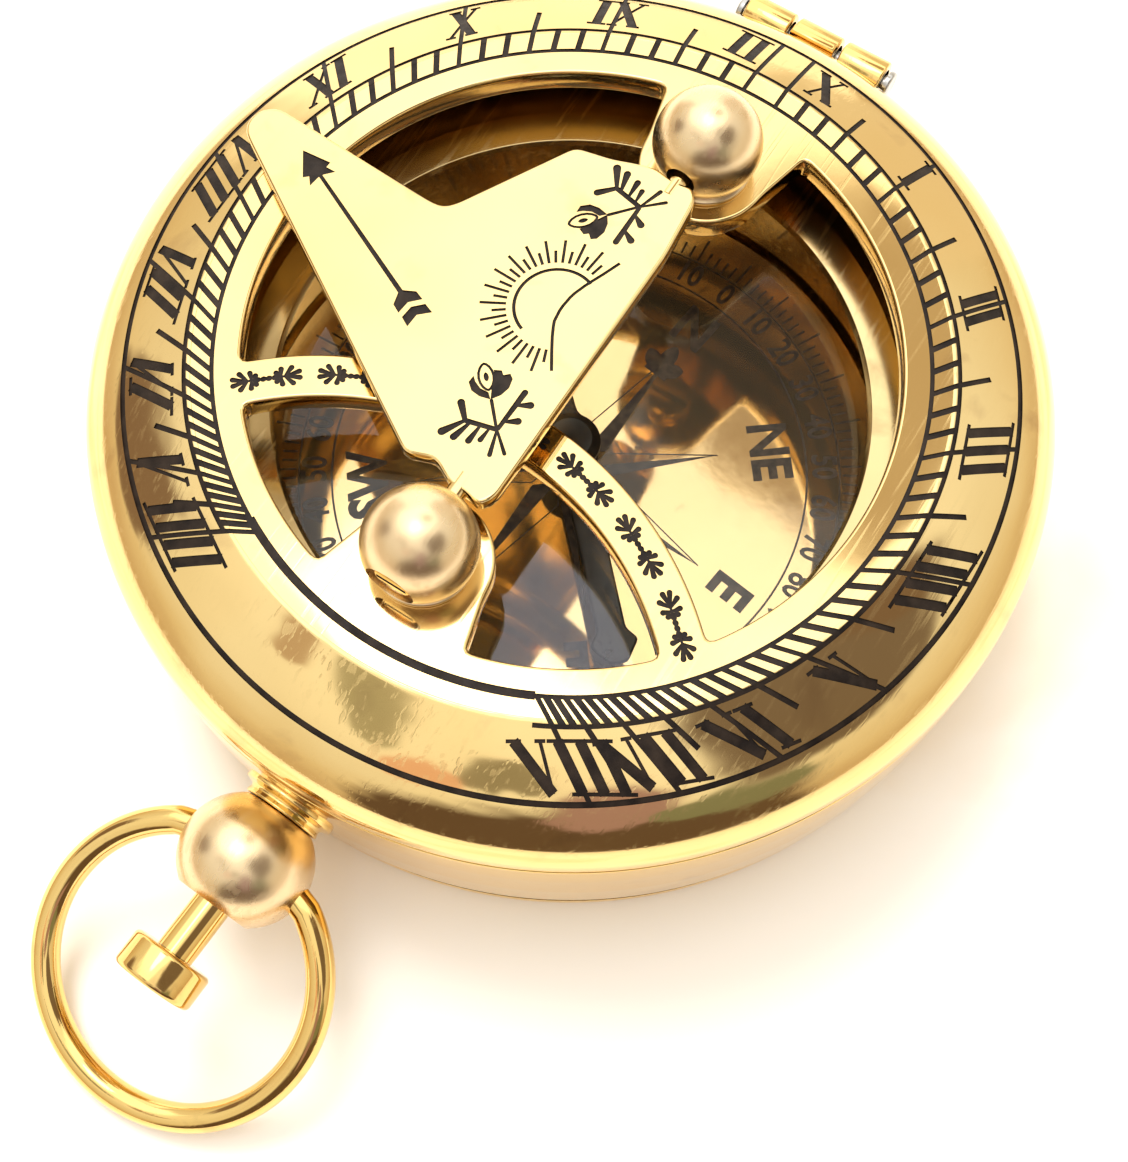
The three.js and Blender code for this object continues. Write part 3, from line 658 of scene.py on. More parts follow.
SCALE_INNER = 17.68
SCALE_OUTER = 19.05
HALF_HOUR = 20.7
RIM_LINE = 22.35
FEET = {1: (1.28, -11.8), -1: (-0.65, -12.3)}   # where the hour lines of each side meet, east is 1
TEN_MINUTES = 2.5                               # degrees of hour angle
MARKS = 48                                      # ten-minute marks on each side of noon
NUMERAL_TOP = 19.65
NUMERAL_FOOT = 21.9
THICK = 0.5
THIN = 0.17
LETTERS = {                     # width, then strokes as (from u, from v, to u, to v, width): u runs
    "I": (1.0, [                # along the word and v from 0 at the letter's top to 1 at its foot
        (0, 0, 0, 1, THICK), (-0.5, 0, 0.5, 0, THIN), (-0.5, 1, 0.5, 1, THIN)]),
    "V": (1.8, [
        (-0.6, 0, 0.05, 1, THICK), (0.6, 0, 0.05, 1, THIN), (-0.95, 0, -0.25, 0, THIN),
        (0.35, 0, 0.85, 0, THIN)]),
    "X": (1.8, [
        (-0.55, 0, 0.55, 1, THICK), (0.6, 0, -0.6, 1, THIN), (-0.9, 0, -0.2, 0, THIN),
        (0.3, 0, 0.85, 0, THIN), (-0.85, 1, -0.3, 1, THIN), (0.2, 1, 0.9, 1, THIN)]),
}
AFTERNOON = ["I", "II", "III", "IIII", "V", "VI", "VII", "VIII"]
MORNING = ["XI", "X", "IX", "VIII", "VII", "VI", "V", "IIII"]


def hour_ray(side, angle):
    turn = math.radians(angle)
    return Vector((side * math.sin(turn), math.cos(turn)))


def hour_point(side, angle, radius):
    """Where the ray at an hour angle from noon crosses a radius."""
    foot, ray = Vector(FEET[side]), hour_ray(side, angle)
    along = foot.dot(ray)
    reach = -along + math.sqrt(along ** 2 - foot.length_squared + radius ** 2)
    return foot + ray * reach


def numeral(text, side, angle, shift=0.0):
    """A numeral set along its hour line, read from outside the ring."""
    foot = hour_point(side, angle, (NUMERAL_TOP + NUMERAL_FOOT) / 2)
    out = foot.normalized()
    along = Vector((-out.y, out.x))
    ray = hour_ray(side, angle)
    lean = ray / ray.dot(out) * (NUMERAL_FOOT - NUMERAL_TOP)
    position = shift - sum(LETTERS[letter][0] for letter in text) / 2
    shapes = []
    for letter in text:
        cell, strokes = LETTERS[letter]
        centre = position + cell / 2
        position += cell
        for u0, v0, u1, v1, width in strokes:
            start = foot + along * (centre + u0) + lean * (v0 - 0.5)
            end = foot + along * (centre + u1) + lean * (v1 - 0.5)
            shapes.append(stroke(start, end, width))
    return shapes


def hour_scale():
    shapes = ring_line(RIM_LINE, 0.27)
    end = math.degrees(math.atan2(*hour_point(1, MARKS * TEN_MINUTES, SCALE_INNER)))
    shapes += ring_line(SCALE_INNER, 0.22, -end, end) + ring_line(SCALE_OUTER, 0.22, -end, end)
    shapes += ring_line(SCALE_INNER, 0.42, end, 360 - end)
    for side, names in ((1, AFTERNOON), (-1, MORNING)):
        for mark in range(MARKS + 1):
            top, width = SCALE_OUTER, 0.32
            if mark % 6 == 0:
                top, width = RIM_LINE, 0.24
            elif mark % 3 == 0:
                top, width = HALF_HOUR, 0.27
            ends = [hour_point(side, mark * TEN_MINUTES, radius) for radius in (SCALE_INNER, top)]
            shapes.append(stroke(*ends, width))
        for hour, name in enumerate(names, 1):
            shapes += numeral(name, side, 6 * TEN_MINUTES * hour)
    shapes += numeral("X", 1, 0, -1.5)
    shapes += numeral("II", -1, 0, 1.35)
    return shapes


def sprig(bearing):
    """A double-ended leaf sprig centred on the arch."""
    shapes = []
    for end in (-1, 1):
        for lean, start, length in ((14, 0.95, 0.85), (48, 0.9, 0.72), (84, 0.72, 0.56), (112, 0.6, 0.4)):
            for side in (-1, 1):
                turn = math.radians(lean)
                tip = (end * (start + length * math.cos(turn)), side * length * math.sin(turn))
                shapes.append(club((end * start, 0.0), tip, 0.12, 0.29))
        shapes.append(stroke((0.0, 0.0), (end * 1.0, 0.0), 0.2, 0.12))
        for bead in (0.14, 0.42):
            shapes.append(almond((end * bead, 0.0), 0.17, 0.15, math.radians(35)))
    return placed(shapes, outwards(ARCH_RADIUS, bearing, ARCH_CENTRE))


# ---- lid

TOP_CURVE = bowed([(BAND_RADIUS - 0.1, DIAL_Z), (19.0, DIAL_Z - 0.04), (20.6, DIAL_Z - 0.62),
                   (22.3, DIAL_Z - 1.38), (23.4, DIAL_Z - 2.05), (24.25, DIAL_Z - 2.85),
                   (24.75, DIAL_Z - 3.65), (SEAM_RADIUS, LID_LOW_Z + 0.2)], 10)
SHEET_RADIUS = 22.8


def slope_at(radius):
    """Height and steepness of the lid's top at a radius."""
    for (r0, z0), (r1, z1) in zip(TOP_CURVE, TOP_CURVE[1:]):
        if r0 <= radius <= r1:
            return z0 + (z1 - z0) * (radius - r0) / (r1 - r0), (z1 - z0) / (r1 - r0)
    return DIAL_Z, 0.0


def top_height(x, y):
    return slope_at(math.hypot(x, y))[0]


def lid_normal(point, normal):
    """The turned surface's own normal on the lid's upper side."""
    radius = math.hypot(point.x, point.y)
    below = top_height(point.x, point.y) - point.z
    if normal.z < 0.5 or radius > SHEET_RADIUS + 0.01 or abs(below) > ENGRAVED + 0.03:
        return None
    steep = (slope_at(radius + 0.08)[1] + slope_at(radius - 0.08)[1]) / 2
    true = Vector((-steep * point.x / radius, -steep * point.y / radius, 1.0)).normalized()
    return true if normal.dot(true) > 0.985 else None


def tab_outline(ball_y):
    """From the window's edge to the round end under a ball."""
    side = 1 if ball_y > 0 else -1
    nose = arc((0.0, ball_y), TAB_RADIUS, 90 * side, 90 * side + 180, 24)
    flare, root = side * (TAB_RADIUS + 0.7), side * (WINDOW_RADIUS + 0.8)
    start = root - side * 1.6
    return nose + [(-flare, start), (-flare, root), (flare, root), (flare, start)]


def window_loops():
    """Outlines of the windows left between the ring, the arch and the two tabs."""
    arch = (arc(ARCH_CENTRE, ARCH_RADIUS + ARCH_WIDTH / 2, -50, 50, 60)
            + arc(ARCH_CENTRE, ARCH_RADIUS - ARCH_WIDTH / 2, 50, -50, 60))
    tabs = [tab_outline(y) for y in BALL_Y.values()]
    points, triangles = triangulate(circle(WINDOW_RADIUS), [], [arch, *tabs])
    open_part = [t for t, solid in triangles if not solid]
    loops = [[points[i] for i in loop] for loop in edge_loops(open_part)]
    return [evenly(loop, 0.28)[::-1] for loop in loops if abs(area(loop)) > 1.0]


def along_hinge(x):
    """The matrix that lays a turned piece along the hinge, its middle at x."""
    return move(x, HINGE_Y, HINGE_Z) @ spin("Y", 90)


def hinge_gap(clear=0.3):
    """The room for the knuckles, as a closed shell along X."""
    shell = Shell()
    half = 4.5 + clear
    radius = KNUCKLE_RADIUS + clear
    turned(shell, [(0.0, -half), (radius, -half), (radius, half), (0.0, half)], 48)
    return shell.turn(along_hinge(0.0))


def hour_ring():
    shell = Shell()
    low = DIAL_Z - PLATE
    windows = window_loops()
    holes = [sawn_edge(shell, loop, low, DIAL_Z) for loop in windows]
    guides = [circle(r) for r, _ in TOP_CURVE if BAND_RADIUS - 0.2 < r < SHEET_RADIUS]
    figures = hour_scale()
    for k in range(-3, 4):
        figures += sprig(13.8 * k)
    sheet(shell, triangulate(circle(SHEET_RADIUS), holes, figures, guides), top_height)
    under = 18.5
    sheet(shell, triangulate(circle(under), holes, []), lambda x, y: low, 0.0, False)
    inner = WALL_INNER + 0.2
    outside = [(r, z) for r, z in TOP_CURVE if r > SHEET_RADIUS][::-1]
    rim = rounded([(under, low), (21.6, LID_LOW_Z + 1.7, 0.8), (inner, LID_LOW_Z + 0.9, 0.3),
                   (inner, LID_LOW_Z, 0.08), (SEAM_RADIUS - 0.05, LID_LOW_Z, 0.12), outside[0]])
    last = (SHEET_RADIUS, top_height(SHEET_RADIUS, 0.0))
    closed = Shell()
    turned(closed, rim + outside[1:] + [last], ROUND)
    turned(closed, [last, rim[0]], ROUND, TEMPORARY)
    shell.add(cut_away(closed, hinge_gap()))
    obj = shell.build("hour_ring", [DIAL_BRASS, BLACK_FILL_AND_SLOT_SHADE])
    flat_normals(obj, lid_normal)
    finish_piece(obj, "lid", "sundial_ring")


def ball_post(name):
    """A ball bored along the fold axis for its pivot screw, on a low round foot. Returns its place."""
    shell = Shell()
    wide, narrow = 1.3, 0.8
    start, end = (math.degrees(math.asin(bore / BALL_RADIUS)) for bore in (wide, narrow))
    ball = [(r, -z) for r, z in arc((0.0, 0.0), BALL_RADIUS, start, 180 - end, 40)]
    seat = -BALL_RADIUS + 1.1
    turned(shell, [(0.0, seat), (wide, seat), (wide, ball[0][1] + 0.1), *ball, (narrow, 0.5), (0.0, 0.5)], 96)
    shell.turn(spin("X", -90))
    foot = Shell()
    top = DIAL_Z - BALL_Z
    turned(foot, rounded([(0.0, top + 0.02), (2.45, top + 0.02, 0.1), (2.45, top + 0.22, 0.1),
                          (2.0, top + 0.42, 0.25), (1.9, top + 1.0), (0.0, top + 1.2)]), 96)
    shell.add(foot)
    place = move(0.0, BALL_Y[name], BALL_Z) @ spin("Z", 180 if name == "north" else 0)
    finish_piece(shell.build(f"{name}_ball", [BALL_BRASS], place), "lid", f"{name}_post")
    return place


def slotted_head(name, radius, height, slot_width, shank, matrix, node):
    """A round screw head at z = 0 with a slot, on a plain shank below. The slot's floor and walls take the
    engraving black as painted shade, where bare brass would lie in shadow.
    """
    shell = Shell()
    slot = stroke((-radius * 1.3, 0.0), (radius * 1.3, 0.0), slot_width)
    slot = [(max(-radius + EDGE * 1.2, min(radius - EDGE * 1.2, x)), y) for x, y in slot]
    plate(shell, circle(radius, 48), -height, 0.0, [slot], height * 0.5)
    turned(shell, [(0.0, -height - shank), (radius * 0.45, -height - shank),
                   (radius * 0.45, -height + 0.02), (0.0, -height + 0.02)], 32)
    finish_piece(shell.build(name, [CASE_BRASS, BLACK_FILL_AND_SLOT_SHADE], matrix), "lid", node)


def lid_pieces():
    hour_ring()
    for name in BALL_Y:
        head = ball_post(name) @ move(0.0, -2.35) @ spin("X", 90)
        slotted_head(f"{name}_pivot_head", 1.0, 0.5, 0.34, 0.9, head, f"{name}_pivot_screw")
        under = move(0.0, BALL_Y[name], DIAL_Z - PLATE - 0.9) @ spin("X", 180)
        slotted_head(f"{name}_post_head", 1.6, 0.85, 0.4, 1.6, under, f"{name}_post_screw")


# ---- gnomon

SUN = (-1.25, 0.5)
ARROW_TIP = (-17.25, 1.62)
ARROW_TURN = -25.4
ROSE = {
    "clubs": [
        ((0.0, 0.0), (-1.1, 1.2), 0.16, 0.18), ((0.05, 0.0), (0.1, 2.45), 0.22, 0.32),
        ((0.1, 1.5), (0.85, 1.95), 0.14, 0.38), ((0.1, 0.5), (0.8, 0.95), 0.14, 0.38),
        ((0.1, 0.0), (-1.6, -0.4), 0.26, 0.28), ((-1.5, -0.4), (-2.35, 0.45), 0.24, 0.38),
        ((-1.5, -0.35), (-2.25, -1.6), 0.18, 0.42), ((-1.25, -0.35), (-1.55, -1.55), 0.16, 0.38),
        ((-0.75, -0.25), (-0.8, -1.35), 0.14, 0.34), ((-0.3, -0.15), (-0.35, -1.0), 0.12, 0.28),
        ((-0.1, 0.1), (1.1, -0.95), 0.12, 0.2), ((0.0, 0.1), (0.5, -1.4), 0.12, 0.24),
    ],
    "petals": [
        [(-1.1, 1.15), (-1.35, 1.6), (-1.5, 2.1), (-1.85, 2.55), (-1.5, 2.72), (-1.3, 2.55),
         (-1.05, 2.78), (-0.8, 2.6), (-0.68, 2.1), (-0.8, 1.6)],
        [(-1.1, 1.15), (-1.65, 1.02), (-2.15, 1.08), (-2.52, 1.4), (-2.5, 1.8), (-2.25, 1.58),
         (-1.85, 1.4), (-1.4, 1.42)],
    ],
}


def almond(centre, length, width, turn, share=1.0):
    """A pointed oval."""
    points = []
    for i in range(16):
        angle = 2 * math.pi * i / 16
        across = math.sin(angle) * abs(math.sin(angle)) ** 0.3
        points.append((length * math.cos(angle) * share, width * across * share))
    return placed([points], move(*centre) @ Matrix.Rotation(turn, 4, "Z"))[0]


def rose(x, y, mirrored):
    """An open rose with leaves, from the foot of its stem."""
    shapes = [club(*c) for c in ROSE["clubs"]] + [list(p) for p in ROSE["petals"]]
    heart = ((-1.95, 2.05), 0.72, 0.36, math.radians(-47))
    shapes += line(almond(*heart), 0.13, closed=True) + [almond(*heart, share=0.35)]
    return [[(x + px, y - py if mirrored else y + py) for px, py in shape] for shape in shapes]


def rayed_sun():
    """Half a sun behind the line of a hill, with long and short rays."""
    shapes = line(arc(SUN, 2.04, 22, -158, 36), 0.17)
    hill = [(0.12, 4.05), (-0.25, 3.1), (-0.62, 2.25), (-0.9, 1.4), (-0.98, 0.5), (-0.86, -0.3),
            (-0.5, -1.0), (-0.05, -1.75), (0.55, -2.7)]
    there_and_back = evenly(hill + hill[::-1], 0.3, 0)
    shapes += line(there_and_back[:27], 0.16)
    for i in range(29):
        bearing = 13 - 7.67 * i
        reach = 3.72 if i % 2 else 3.12
        shapes.append(stroke(polar(2.42, bearing, SUN), polar(reach, bearing, SUN), 0.15))
    return shapes


def arrow():
    """An arrow with a barbed head and two feathers, along +X from its tip."""
    head = [(0.0, 0.0), (1.45, 0.8), (1.58, 0.5), (2.1, 0.74), (1.9, 0.15)]
    feathers = [[(9.9, 0.0), (10.45, 0.65), (11.0, 0.68), (10.75, 0.0)],
                [(11.05, 0.0), (11.3, 0.66), (11.9, 0.7), (11.6, 0.0)]]
    shapes = [shape + [(x, -y) for x, y in shape[::-1] if y] for shape in [head, *feathers]]
    shapes.append(stroke((1.8, 0.0), (10.2, 0.0), 0.2, 0.26))
    return placed(shapes, move(*ARROW_TIP) @ spin("Z", ARROW_TURN))


def gnomon_outline():
    reach = BALL_RADIUS + 0.3
    outline = [(-3.1, -9.7), (-1.7, -9.2), *arc((0.0, BALL_Y["south"]), reach, -7, 25, 6), (1.8, -9.5),
               (1.8, 5.6), (1.45, 8.9), *arc((0.0, BALL_Y["north"]), reach, 162, 202, 7), (-2.2, 9.5),
               (-3.4, 9.1), (-5.4, 8.75), (-8.75, 2.9), (-9.2, 2.45), (-9.9, 2.4),
               *arc((-19.6, 1.9), 1.25, -6, -146, 10)]
    return evenly(outline, 0.25, 2)


def gnomon():
    shell = Shell()
    half = GNOMON_THICKNESS / 2
    figures = rayed_sun() + arrow() + rose(-0.05, -6.5, False) + rose(-0.78, 7.3, True)
    plate(shell, gnomon_outline(), -half, half, figures)
    for name, inward in (("north", -1), ("south", 1)):
        start = BALL_Y[name] + inward * 0.6
        end = BALL_Y[name] + inward * (BALL_RADIUS + 1.1)
        tube(shell, [(0.0, start, 0.0), (0.0, end, 0.0)], 0.5)
    place = move(0.0, 0.0, BALL_Z) @ spin("Y", GNOMON_LIE)
    obj = shell.build("gnomon", [DIAL_BRASS, BLACK_FILL_AND_SLOT_SHADE], place)
    up = place.to_3x3() @ Vector((0.0, 0.0, 1.0))
    flat_normals(obj, lambda point, normal: up if normal.dot(up) > FLAT else (
        -up if normal.dot(up) < -FLAT else None))
    finish_piece(obj, "gnomon", "gnomon_plate")


# ---- case

def spun(name, profile, material, body, node, matrix=Matrix.Identity(4), count=SMALL_ROUND, closed=False):
    """A turned piece that stands for one CAD node. Its profile's corners are rounded where they say."""
    shell = Shell()
    turned(shell, rounded(profile), count, 0, closed)
    finish_piece(shell.build(name, [material], matrix), body, node)


def case_body():
    shell = Shell()
    floor, foot, groove = 1.5, 24.7, 1.75
    turned(shell, rounded([
        (0.0, 0.0), (23.4, 0.0, 1.5), (24.3, 0.25, 0.8), (foot, 0.8, 0.5), (foot, groove - 0.22, 0.06),
        (foot - 0.22, groove, 0.08), (foot + 0.02, groove + 0.28, 0.1), (24.9, 3.4, 8.0),
        (CASE_RADIUS, 6.6, 12.0), (24.98, 9.6, 10.0), (SEAM_RADIUS, SEAM_Z, 0.1), (WALL_INNER, SEAM_Z, 0.1),
        (WALL_INNER, floor, 0.6), (0.0, floor)], 6), ROUND)
    obj = cut_away(shell, hinge_gap()).build("case_shell", [CASE_BRASS])
    finish_piece(obj, "case", "lower_case")


def compass_surround():
    ledge = GLASS_LOW.z - 0.05
    bore, seat = CARD_RADIUS + 0.3, GLASS_HIGH.x + 0.3
    # The sleeve and bezel wear the darker brass that paints the shade inside the case.
    spun("compass_sleeve", [
        (bore, SLEEVE_LOW.z), (SLEEVE_HIGH.x, SLEEVE_LOW.z, 0.2), (SLEEVE_HIGH.x, SLEEVE_HIGH.z, 0.1),
        (seat, SLEEVE_HIGH.z, 0.1), (seat, ledge), (17.2, ledge, 0.1), (17.2, ledge - 0.8, 0.4),
        (bore, ledge - 1.8, 0.4)], SHADED_INNER_BRASS, "case", "compass_wall", count=ROUND, closed=True)
    low, top = GLASS_HIGH.z + 0.05, SEAM_Z - 0.1
    spun("bezel", [(15.5, low), (SLEEVE_HIGH.x, low, 0.05), (SLEEVE_HIGH.x, top, 0.12), (17.3, top, 0.5),
                   (15.7, low + 0.2, 0.1)], SHADED_INNER_BRASS, "case", "glass_ring", count=ROUND, closed=True)
    spun("compass_pane", [(0.0, GLASS_LOW.z), (GLASS_HIGH.x, GLASS_LOW.z, 0.1),
                          (GLASS_HIGH.x, GLASS_HIGH.z, 0.1), (0.0, GLASS_HIGH.z)],
         GLASS, "case", "compass_glass", count=ROUND)


def barrel(name, x, body, web_low, web_high, node):
    """One knuckle of the hinge with the web that joins it to its shell."""
    shell = Shell()
    half, bore = 1.35, 0.8
    turned(shell, rounded([(bore, -half), (KNUCKLE_RADIUS, -half, 0.12), (KNUCKLE_RADIUS, half, 0.12),
                           (bore, half)]), 48, 0, True)
    shell.turn(along_hinge(x))
    back, front = HINGE_Y - 0.75, HINGE_Y - 0.2
    web = Shell()
    plate(web, [(x - half, back), (x + half, back), (x + half, front), (x - half, front)], web_low, web_high)
    shell.add(web)
    finish_piece(shell.build(name, [CASE_BRASS]), body, node)


def hinge():
    for side, x in (("east", 3.0), ("west", -3.0)):
        barrel(f"knuckle_{side}", x, "case", HINGE_Z - 2.4, HINGE_Z - 0.8, f"hinge_knuckle_{side}")
    barrel("knuckle_lid", 0.0, "lid", HINGE_Z + 0.5, HINGE_Z + 1.5, "lid_knuckle")
    half, pin, head = 4.9, 0.5, 0.85
    spun("hinge_rivet", [(0.0, -half), (head, -half, 0.2), (head, -half + 0.35), (pin, -half + 0.38),
                         (pin, half - 0.38), (head, half - 0.35), (head, half, 0.2), (0.0, half)],
         STEEL, "case", "hinge_pin", along_hinge(0.0), 48)


# ---- compass

CARD_NORTH = 7.0                # the card's north, clockwise from noon
CARD_LINE = 13.7
CARD_EYE = 1.0                  # radius of the hole for the pivot
TICKS_INNER = 15.75


def glyphs(text, size, weight):
    """Outlines of a line of plain letters, made bolder by weight: anticlockwise, their holes clockwise."""
    curve = bpy.data.curves.new("glyphs", "FONT")
    curve.body = text
    curve.size = size
    curve.align_x = "CENTER"
    curve.fill_mode = "NONE"
    curve.resolution_u = 3
    obj = new_object("glyphs", curve)
    mesh = evaluated_mesh(obj)
    loops = [[tuple(mesh.vertices[i].co.xy) for i in loop]
             for loop in chains({e.vertices[0]: e.vertices[1] for e in mesh.edges})]
    bpy.data.objects.remove(obj)
    bpy.data.meshes.remove(mesh)
    return [[tuple(Vector(p) + m * weight) for p, m in zip(loop, outward(loop))] for loop in loops]


def word(text, size, radius, bearing, narrow, weight):
    """Letters set round the card with their tops outwards."""
    matrix = outwards(radius, bearing) @ Matrix.Diagonal((narrow, 1.0, 1.0, 1.0))
    loops = glyphs(text, size, weight)
    solid = area(max(loops, key=lambda loop: abs(area(loop)))) > 0
    return [flat if (area(loop) > 0) == solid else ("hole", flat)
            for loop, flat in zip(loops, placed(loops, matrix))]


def rose_point(bearing, length, width):
    """A slender point of the compass rose, dark on one side and outlined on the other."""
    foot, tip = polar(1.2, bearing), polar(length, bearing)
    side = polar(2.4, bearing + math.degrees(width))
    other = polar(2.4, bearing - math.degrees(width))
    return [[foot, side, tip]] + line([foot, other, tip], 0.08)


def fleur(bearing, radius):
    """The three-leaved ornament that marks north."""
    shapes = [stroke((-0.75, 0.0), (0.75, 0.0), 0.3)]
    for lean, length in ((0, 1.0), (52, 0.78), (-52, 0.78)):
        turn = math.radians(90 - lean)
        centre = (length * math.cos(turn), 0.1 + length * math.sin(turn))
        shapes.append(almond(centre, length, 0.5, turn))
    return placed(shapes, outwards(radius, bearing))


def card_print():
    shapes = ring_line(CARD_LINE, 0.12) + ring_line(TICKS_INNER - 0.15, 0.1)
    for degree in range(0, 360, 2):
        bearing = degree + CARD_NORTH
        reach = 17.3 if degree % 10 == 0 else 16.6
        shapes.append(stroke(polar(TICKS_INNER, bearing), polar(reach, bearing), 0.13))
    for degree in range(0, 360, 10):
        value = min(degree % 180, 180 - degree % 180)
        shapes += word(str(value), 2.05, 14.05, degree + CARD_NORTH, 0.78, 0.045)
    for k, name in enumerate(["N", "NE", "E", "SE", "S", "SW", "W", "NW"]):
        bearing = 45 * k + CARD_NORTH
        size, length, width = (3.1, 8.6, 0.3) if k % 2 else (3.3, 9.4, 0.42)
        shapes += word(name, size, 10.6, bearing, 0.9, 0.12) + rose_point(bearing, length, width)
    return shapes + fleur(CARD_NORTH, 8.0)


def compass():
    shell = Shell()
    rim, eye = circle(CARD_RADIUS), circle(CARD_EYE, 48)
    sheet(shell, triangulate(rim, [eye], card_print()), lambda x, y: CARD_HIGH.z, 0.0)
    sheet(shell, triangulate(rim, [eye], []), lambda x, y: CARD_LOW.z, 0.0, False)
    turned(shell, [(CARD_RADIUS, CARD_LOW.z), (CARD_RADIUS, CARD_HIGH.z)], ROUND)
    turned(shell, [(CARD_EYE, CARD_HIGH.z), (CARD_EYE, CARD_LOW.z)], 48)
    finish_piece(shell.build("compass_card", [CARD, INK]), "case", "compass_dial")

    place = move(0.0, 0.0, NEEDLE_Z) @ spin("Z", NEEDLE_TURN)
    length, half = 13.0, 0.8
    side = [(length, 0.5), (length - 1.2, 1.35), (length - 1.9, half), (1.7, half), (1.3, 1.3), (0.0, 1.75),
            (-1.3, 1.3), (-1.9, half), (-length + 2.4, 0.35)]
    bar = Shell()
    plate(bar, evenly(side + [(x, -y) for x, y in side[::-1]], 0.2, 1), -0.15, 0.15)
    obj = bar.build("needle_bar", [LACQUER], place)
    up = Vector((0.0, 0.0, 1.0))
    flat_normals(obj, lambda point, normal: up if normal.dot(up) > FLAT else None)
    finish_piece(obj, "needle", "compass_needle")
    spun("needle_cap", [(0.0, 0.1), (0.55, -0.9), (0.85, -0.9, 0.1), (0.85, 0.2), (1.7, 0.2, 0.08),
                        (1.7, 0.55, 0.12), (1.2, 0.95, 0.2), (0.0, 1.1)],
         LACQUER, "needle", "needle_hub", place)


# ---- pendant

PENDANT_PLACE = spin("Z", PENDANT_TURN) @ move(0.0, PENDANT_Y, PENDANT_Z)


def pendant():
    """Neck, bead and push button, turned about an axis that points away from the case."""
    place = PENDANT_PLACE @ spin("X", 90)
    neck_low, neck_high = CASE_RADIUS - 0.2 + PENDANT_Y, -2.75
    spun("neck", [(0.0, neck_low), (2.6, neck_low, 0.05), (2.6, neck_low + 0.3, 0.1),
                  (2.05, (neck_low + neck_high) / 2, 0.2), (2.2, neck_high, 0.1), (0.0, neck_high)],
         CASE_BRASS, "case", "pendant_neck", place)
    half, radius, cut = 2.7, 3.5, 0.62
    bead = []
    for i in range(33):
        angle = (math.pi / 2 - cut) * (2 * i / 32 - 1)
        bead.append((radius * math.cos(angle), half * math.sin(angle) / math.cos(cut)))
    spun("bead", [(0.0, -half), (*bead[0], 0.12), *bead[1:-1], (*bead[-1], 0.12),
                  (1.3, half, 0.1), (1.3, half - 0.8), (0.0, half - 0.8)],
         BALL_BRASS, "case", "pendant_ball", place)
    stem = 5.6
    spun("stem", [(0.0, -6.0), (0.75, -6.0), (0.75, 1.0), (1.0, 1.1), (1.0, stem), (0.0, stem)],
         CASE_BRASS, "button", "button_stem", place)
    radius, top = 2.2, stem + 1.9
    spun("cap", [(0.0, stem + 0.02), (radius, stem + 0.02, 0.25), (radius, top, 0.28), (0.0, top + 0.08)],
         CASE_BRASS, "button", "button_cap", place)


def bow():
    """The hanging ring, its two ends let into the bead."""
    start = math.asin(BOW_CENTRE / BOW_RADIUS)
    sweep = math.pi + 2 * start
    path = [(2.4, 0.0, 0.0), (2.95, -0.02, 0.0)]
    steps = 110
    for i in range(2, steps - 1):
        angle = start - sweep * i / steps
        path.append((BOW_RADIUS * math.cos(angle), BOW_RADIUS * math.sin(angle) - BOW_CENTRE, 0.0))
    path += [(-2.95, -0.02, 0.0), (-2.4, 0.0, 0.0)]
    shell = Shell()
    tube(shell, path, BOW_WIRE, 28)
    obj = shell.build("bow", [CASE_BRASS], PENDANT_PLACE @ spin("X", BOW_HANG))
    finish_piece(obj, "bow", "bow_ring")


# ---- the rest of the model

def carried_over():
    """CAD nodes that keep their shape: the springs and small hidden pieces."""
    steel = ["needle_pivot", "lift_spring", "lift_spring_screw", "catch_spring", "catch_spring_screw",
             "button_spring"]
    for name in steel + ["lid_catch_lip"]:
        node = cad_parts[name]
        node.data.materials.clear()
        node.data.materials.append(STEEL if name in steel else CASE_BRASS)
        weld = node.modifiers.new("weld", "WELD")
        weld.merge_threshold = WELD * MM
        edge = node.modifiers.new("edge", "BEVEL")
        edge.width = 0.05 * MM
        edge.segments = 2
        edge.limit_method = "ANGLE"


# ---- studio

def table():
    shell = Shell()
    half = 2500.0
    shell.face([(-half, -half, 0.0), (half, -half, 0.0), (half, half, 0.0), (-half, half, 0.0)])
    floor = shell.build("table", [table_top()])


def direction(bearing, elevation):
    flat, lift = math.radians(bearing), math.radians(elevation)
    return Vector((math.sin(flat) * math.cos(lift), math.cos(flat) * math.cos(lift), math.sin(lift)))


PATCHES = [  # bearing, elevation, half-width in degrees, colour of a soft part of the room
    (-38, 66, 33, (2.0, 1.95, 1.82)),
    (-36, 10, 27, (1.65, 1.56, 1.42)),
    (4, 20, 14, (0.95, 0.84, 0.68)),
    (146, 4, 38, (0.15, 0.10, 0.07)),
    (90, 49, 19, (0.22, 0.17, 0.14)),
    (60, 52, 9, (0.22, 0.15, 0.11)),
    (140, 38, 12, (0.44, 0.29, 0.33)),
    (118, 30, 9, (0.26, 0.28, 0.20)),
    (-108, 26, 13, (0.26, 0.18, 0.14)),
    (-3, 57, 8, (0.62, 0.49, 0.34)),
    (-165, 60, 6, (0.48, 0.46, 0.36)),
    (177, 48, 6, (0.95, 0.60, 0.48)),
    (162, 53, 5, (0.36, 0.33, 0.26)),
    (-135, 52, 5, (0.60, 0.46, 0.36)),
    (-60, 75, 9, (4.0, 4.0, 4.3)),
]


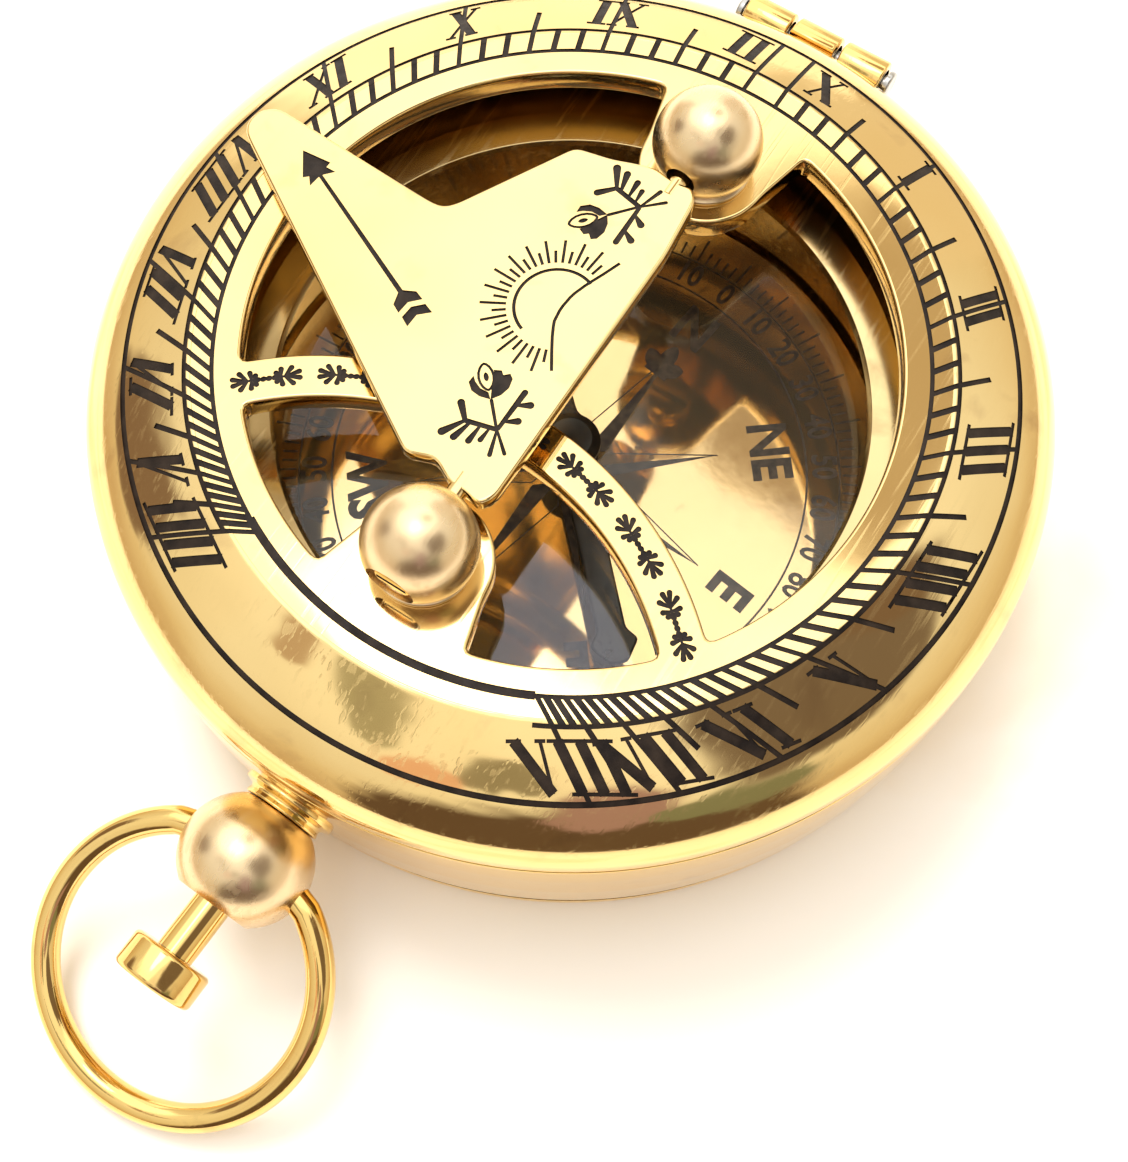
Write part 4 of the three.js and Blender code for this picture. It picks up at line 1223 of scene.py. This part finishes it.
def studio():
    """A pale room, brown towards the horizon, with soft bright and dark parts as a window, walls and
    people give, their borders broken up by noise. The camera sees an even pale backdrop instead."""
    vector = "ShaderNodeVectorMath"
    world = bpy.data.worlds.new("studio")
    bpy.context.scene.world = world
    n = Nodes(world, "Generated")
    shift = n.compute("MULTIPLY_ADD", n.noise(2.6, 3, output="Color"), (0.5, 0.5, 0.5), n.place, kind=vector)
    looked = n.compute("NORMALIZE", n.compute("SUBTRACT", shift, (0.25, 0.25, 0.25), kind=vector), kind=vector)
    split = n.add("ShaderNodeSeparateXYZ")
    n.feed(split.inputs[0], looked)
    colour = n.ramp(split.outputs["Z"], (0.0, (0.72, 0.56, 0.38)), (0.25, (0.86, 0.74, 0.55)),
                    (0.6, (0.98, 0.94, 0.84)), (1.0, (1.3, 1.27, 1.2)))
    for bearing, elevation, half_width, patch in PATCHES:
        dot = n.compute("DOT_PRODUCT", looked, direction(bearing, elevation), kind=vector, output="Value")
        soft = n.add("ShaderNodeMapRange", interpolation_type="SMOOTHSTEP")
        n.feed(soft.inputs["Value"], dot)
        for name, share in (("From Min", 1.15), ("From Max", 0.88)):
            soft.inputs[name].default_value = math.cos(math.radians(half_width * share))
        colour = n.mix(soft.outputs[0], colour, patch)
    room = n.tree.nodes["Background"]
    n.feed(room.inputs["Color"], colour)
    backdrop = n.add("ShaderNodeBackground")
    n.feed(backdrop.inputs["Color"], (0.96, 0.94, 0.90))
    seen = n.add("ShaderNodeLightPath").outputs["Is Camera Ray"]
    n.show("World Output", seen, room.outputs[0], backdrop.outputs[0])


def softbox(name, bearing, elevation, distance, size, power, colour):
    """A soft lamp that lights the scene without showing in the brass."""
    light = bpy.data.lights.new(name, "AREA")
    light.shape = "DISK"
    light.size = size
    light.energy = power
    light.color = colour
    obj = new_object(name, light)
    obj.location = direction(bearing, elevation) * distance
    obj.rotation_euler = (-obj.location).to_track_quat("-Z", "Y").to_euler()
    obj.visible_glossy = False


def camera():
    """The photograph's view, from the perspective of the hour ring's circles and the two balls."""
    right, up = Vector((0.84244, 0.53876, 0.00637)), Vector((-0.50985, 0.79330, 0.33276))
    back = right.cross(up).normalized()
    up = back.cross(right).normalized()
    data = bpy.data.cameras.new("camera")
    data.sensor_fit = "AUTO"
    data.sensor_width = 36.0
    data.lens = 49.57
    data.clip_start = 0.002
    obj = new_object("camera", data)
    obj.matrix_world = Matrix((right, up, back)).transposed().to_4x4()
    obj.location = (0.019158, -0.031558, 0.087104)
    bpy.context.scene.camera = obj


camera()
case_body()
compass_surround()
hinge()
compass()
lid_pieces()
gnomon()
pendant()
bow()
carried_over()
table()
studio()
softbox("key", -55, 58, 0.6, 0.3, 2.6, (1.0, 0.97, 0.92))
softbox("fill", 165, 40, 0.6, 0.4, 0.8, (1.0, 0.80, 0.62))
bpy.context.scene.view_settings.view_transform = "Standard"
bpy.context.scene.view_settings.exposure = 0.05
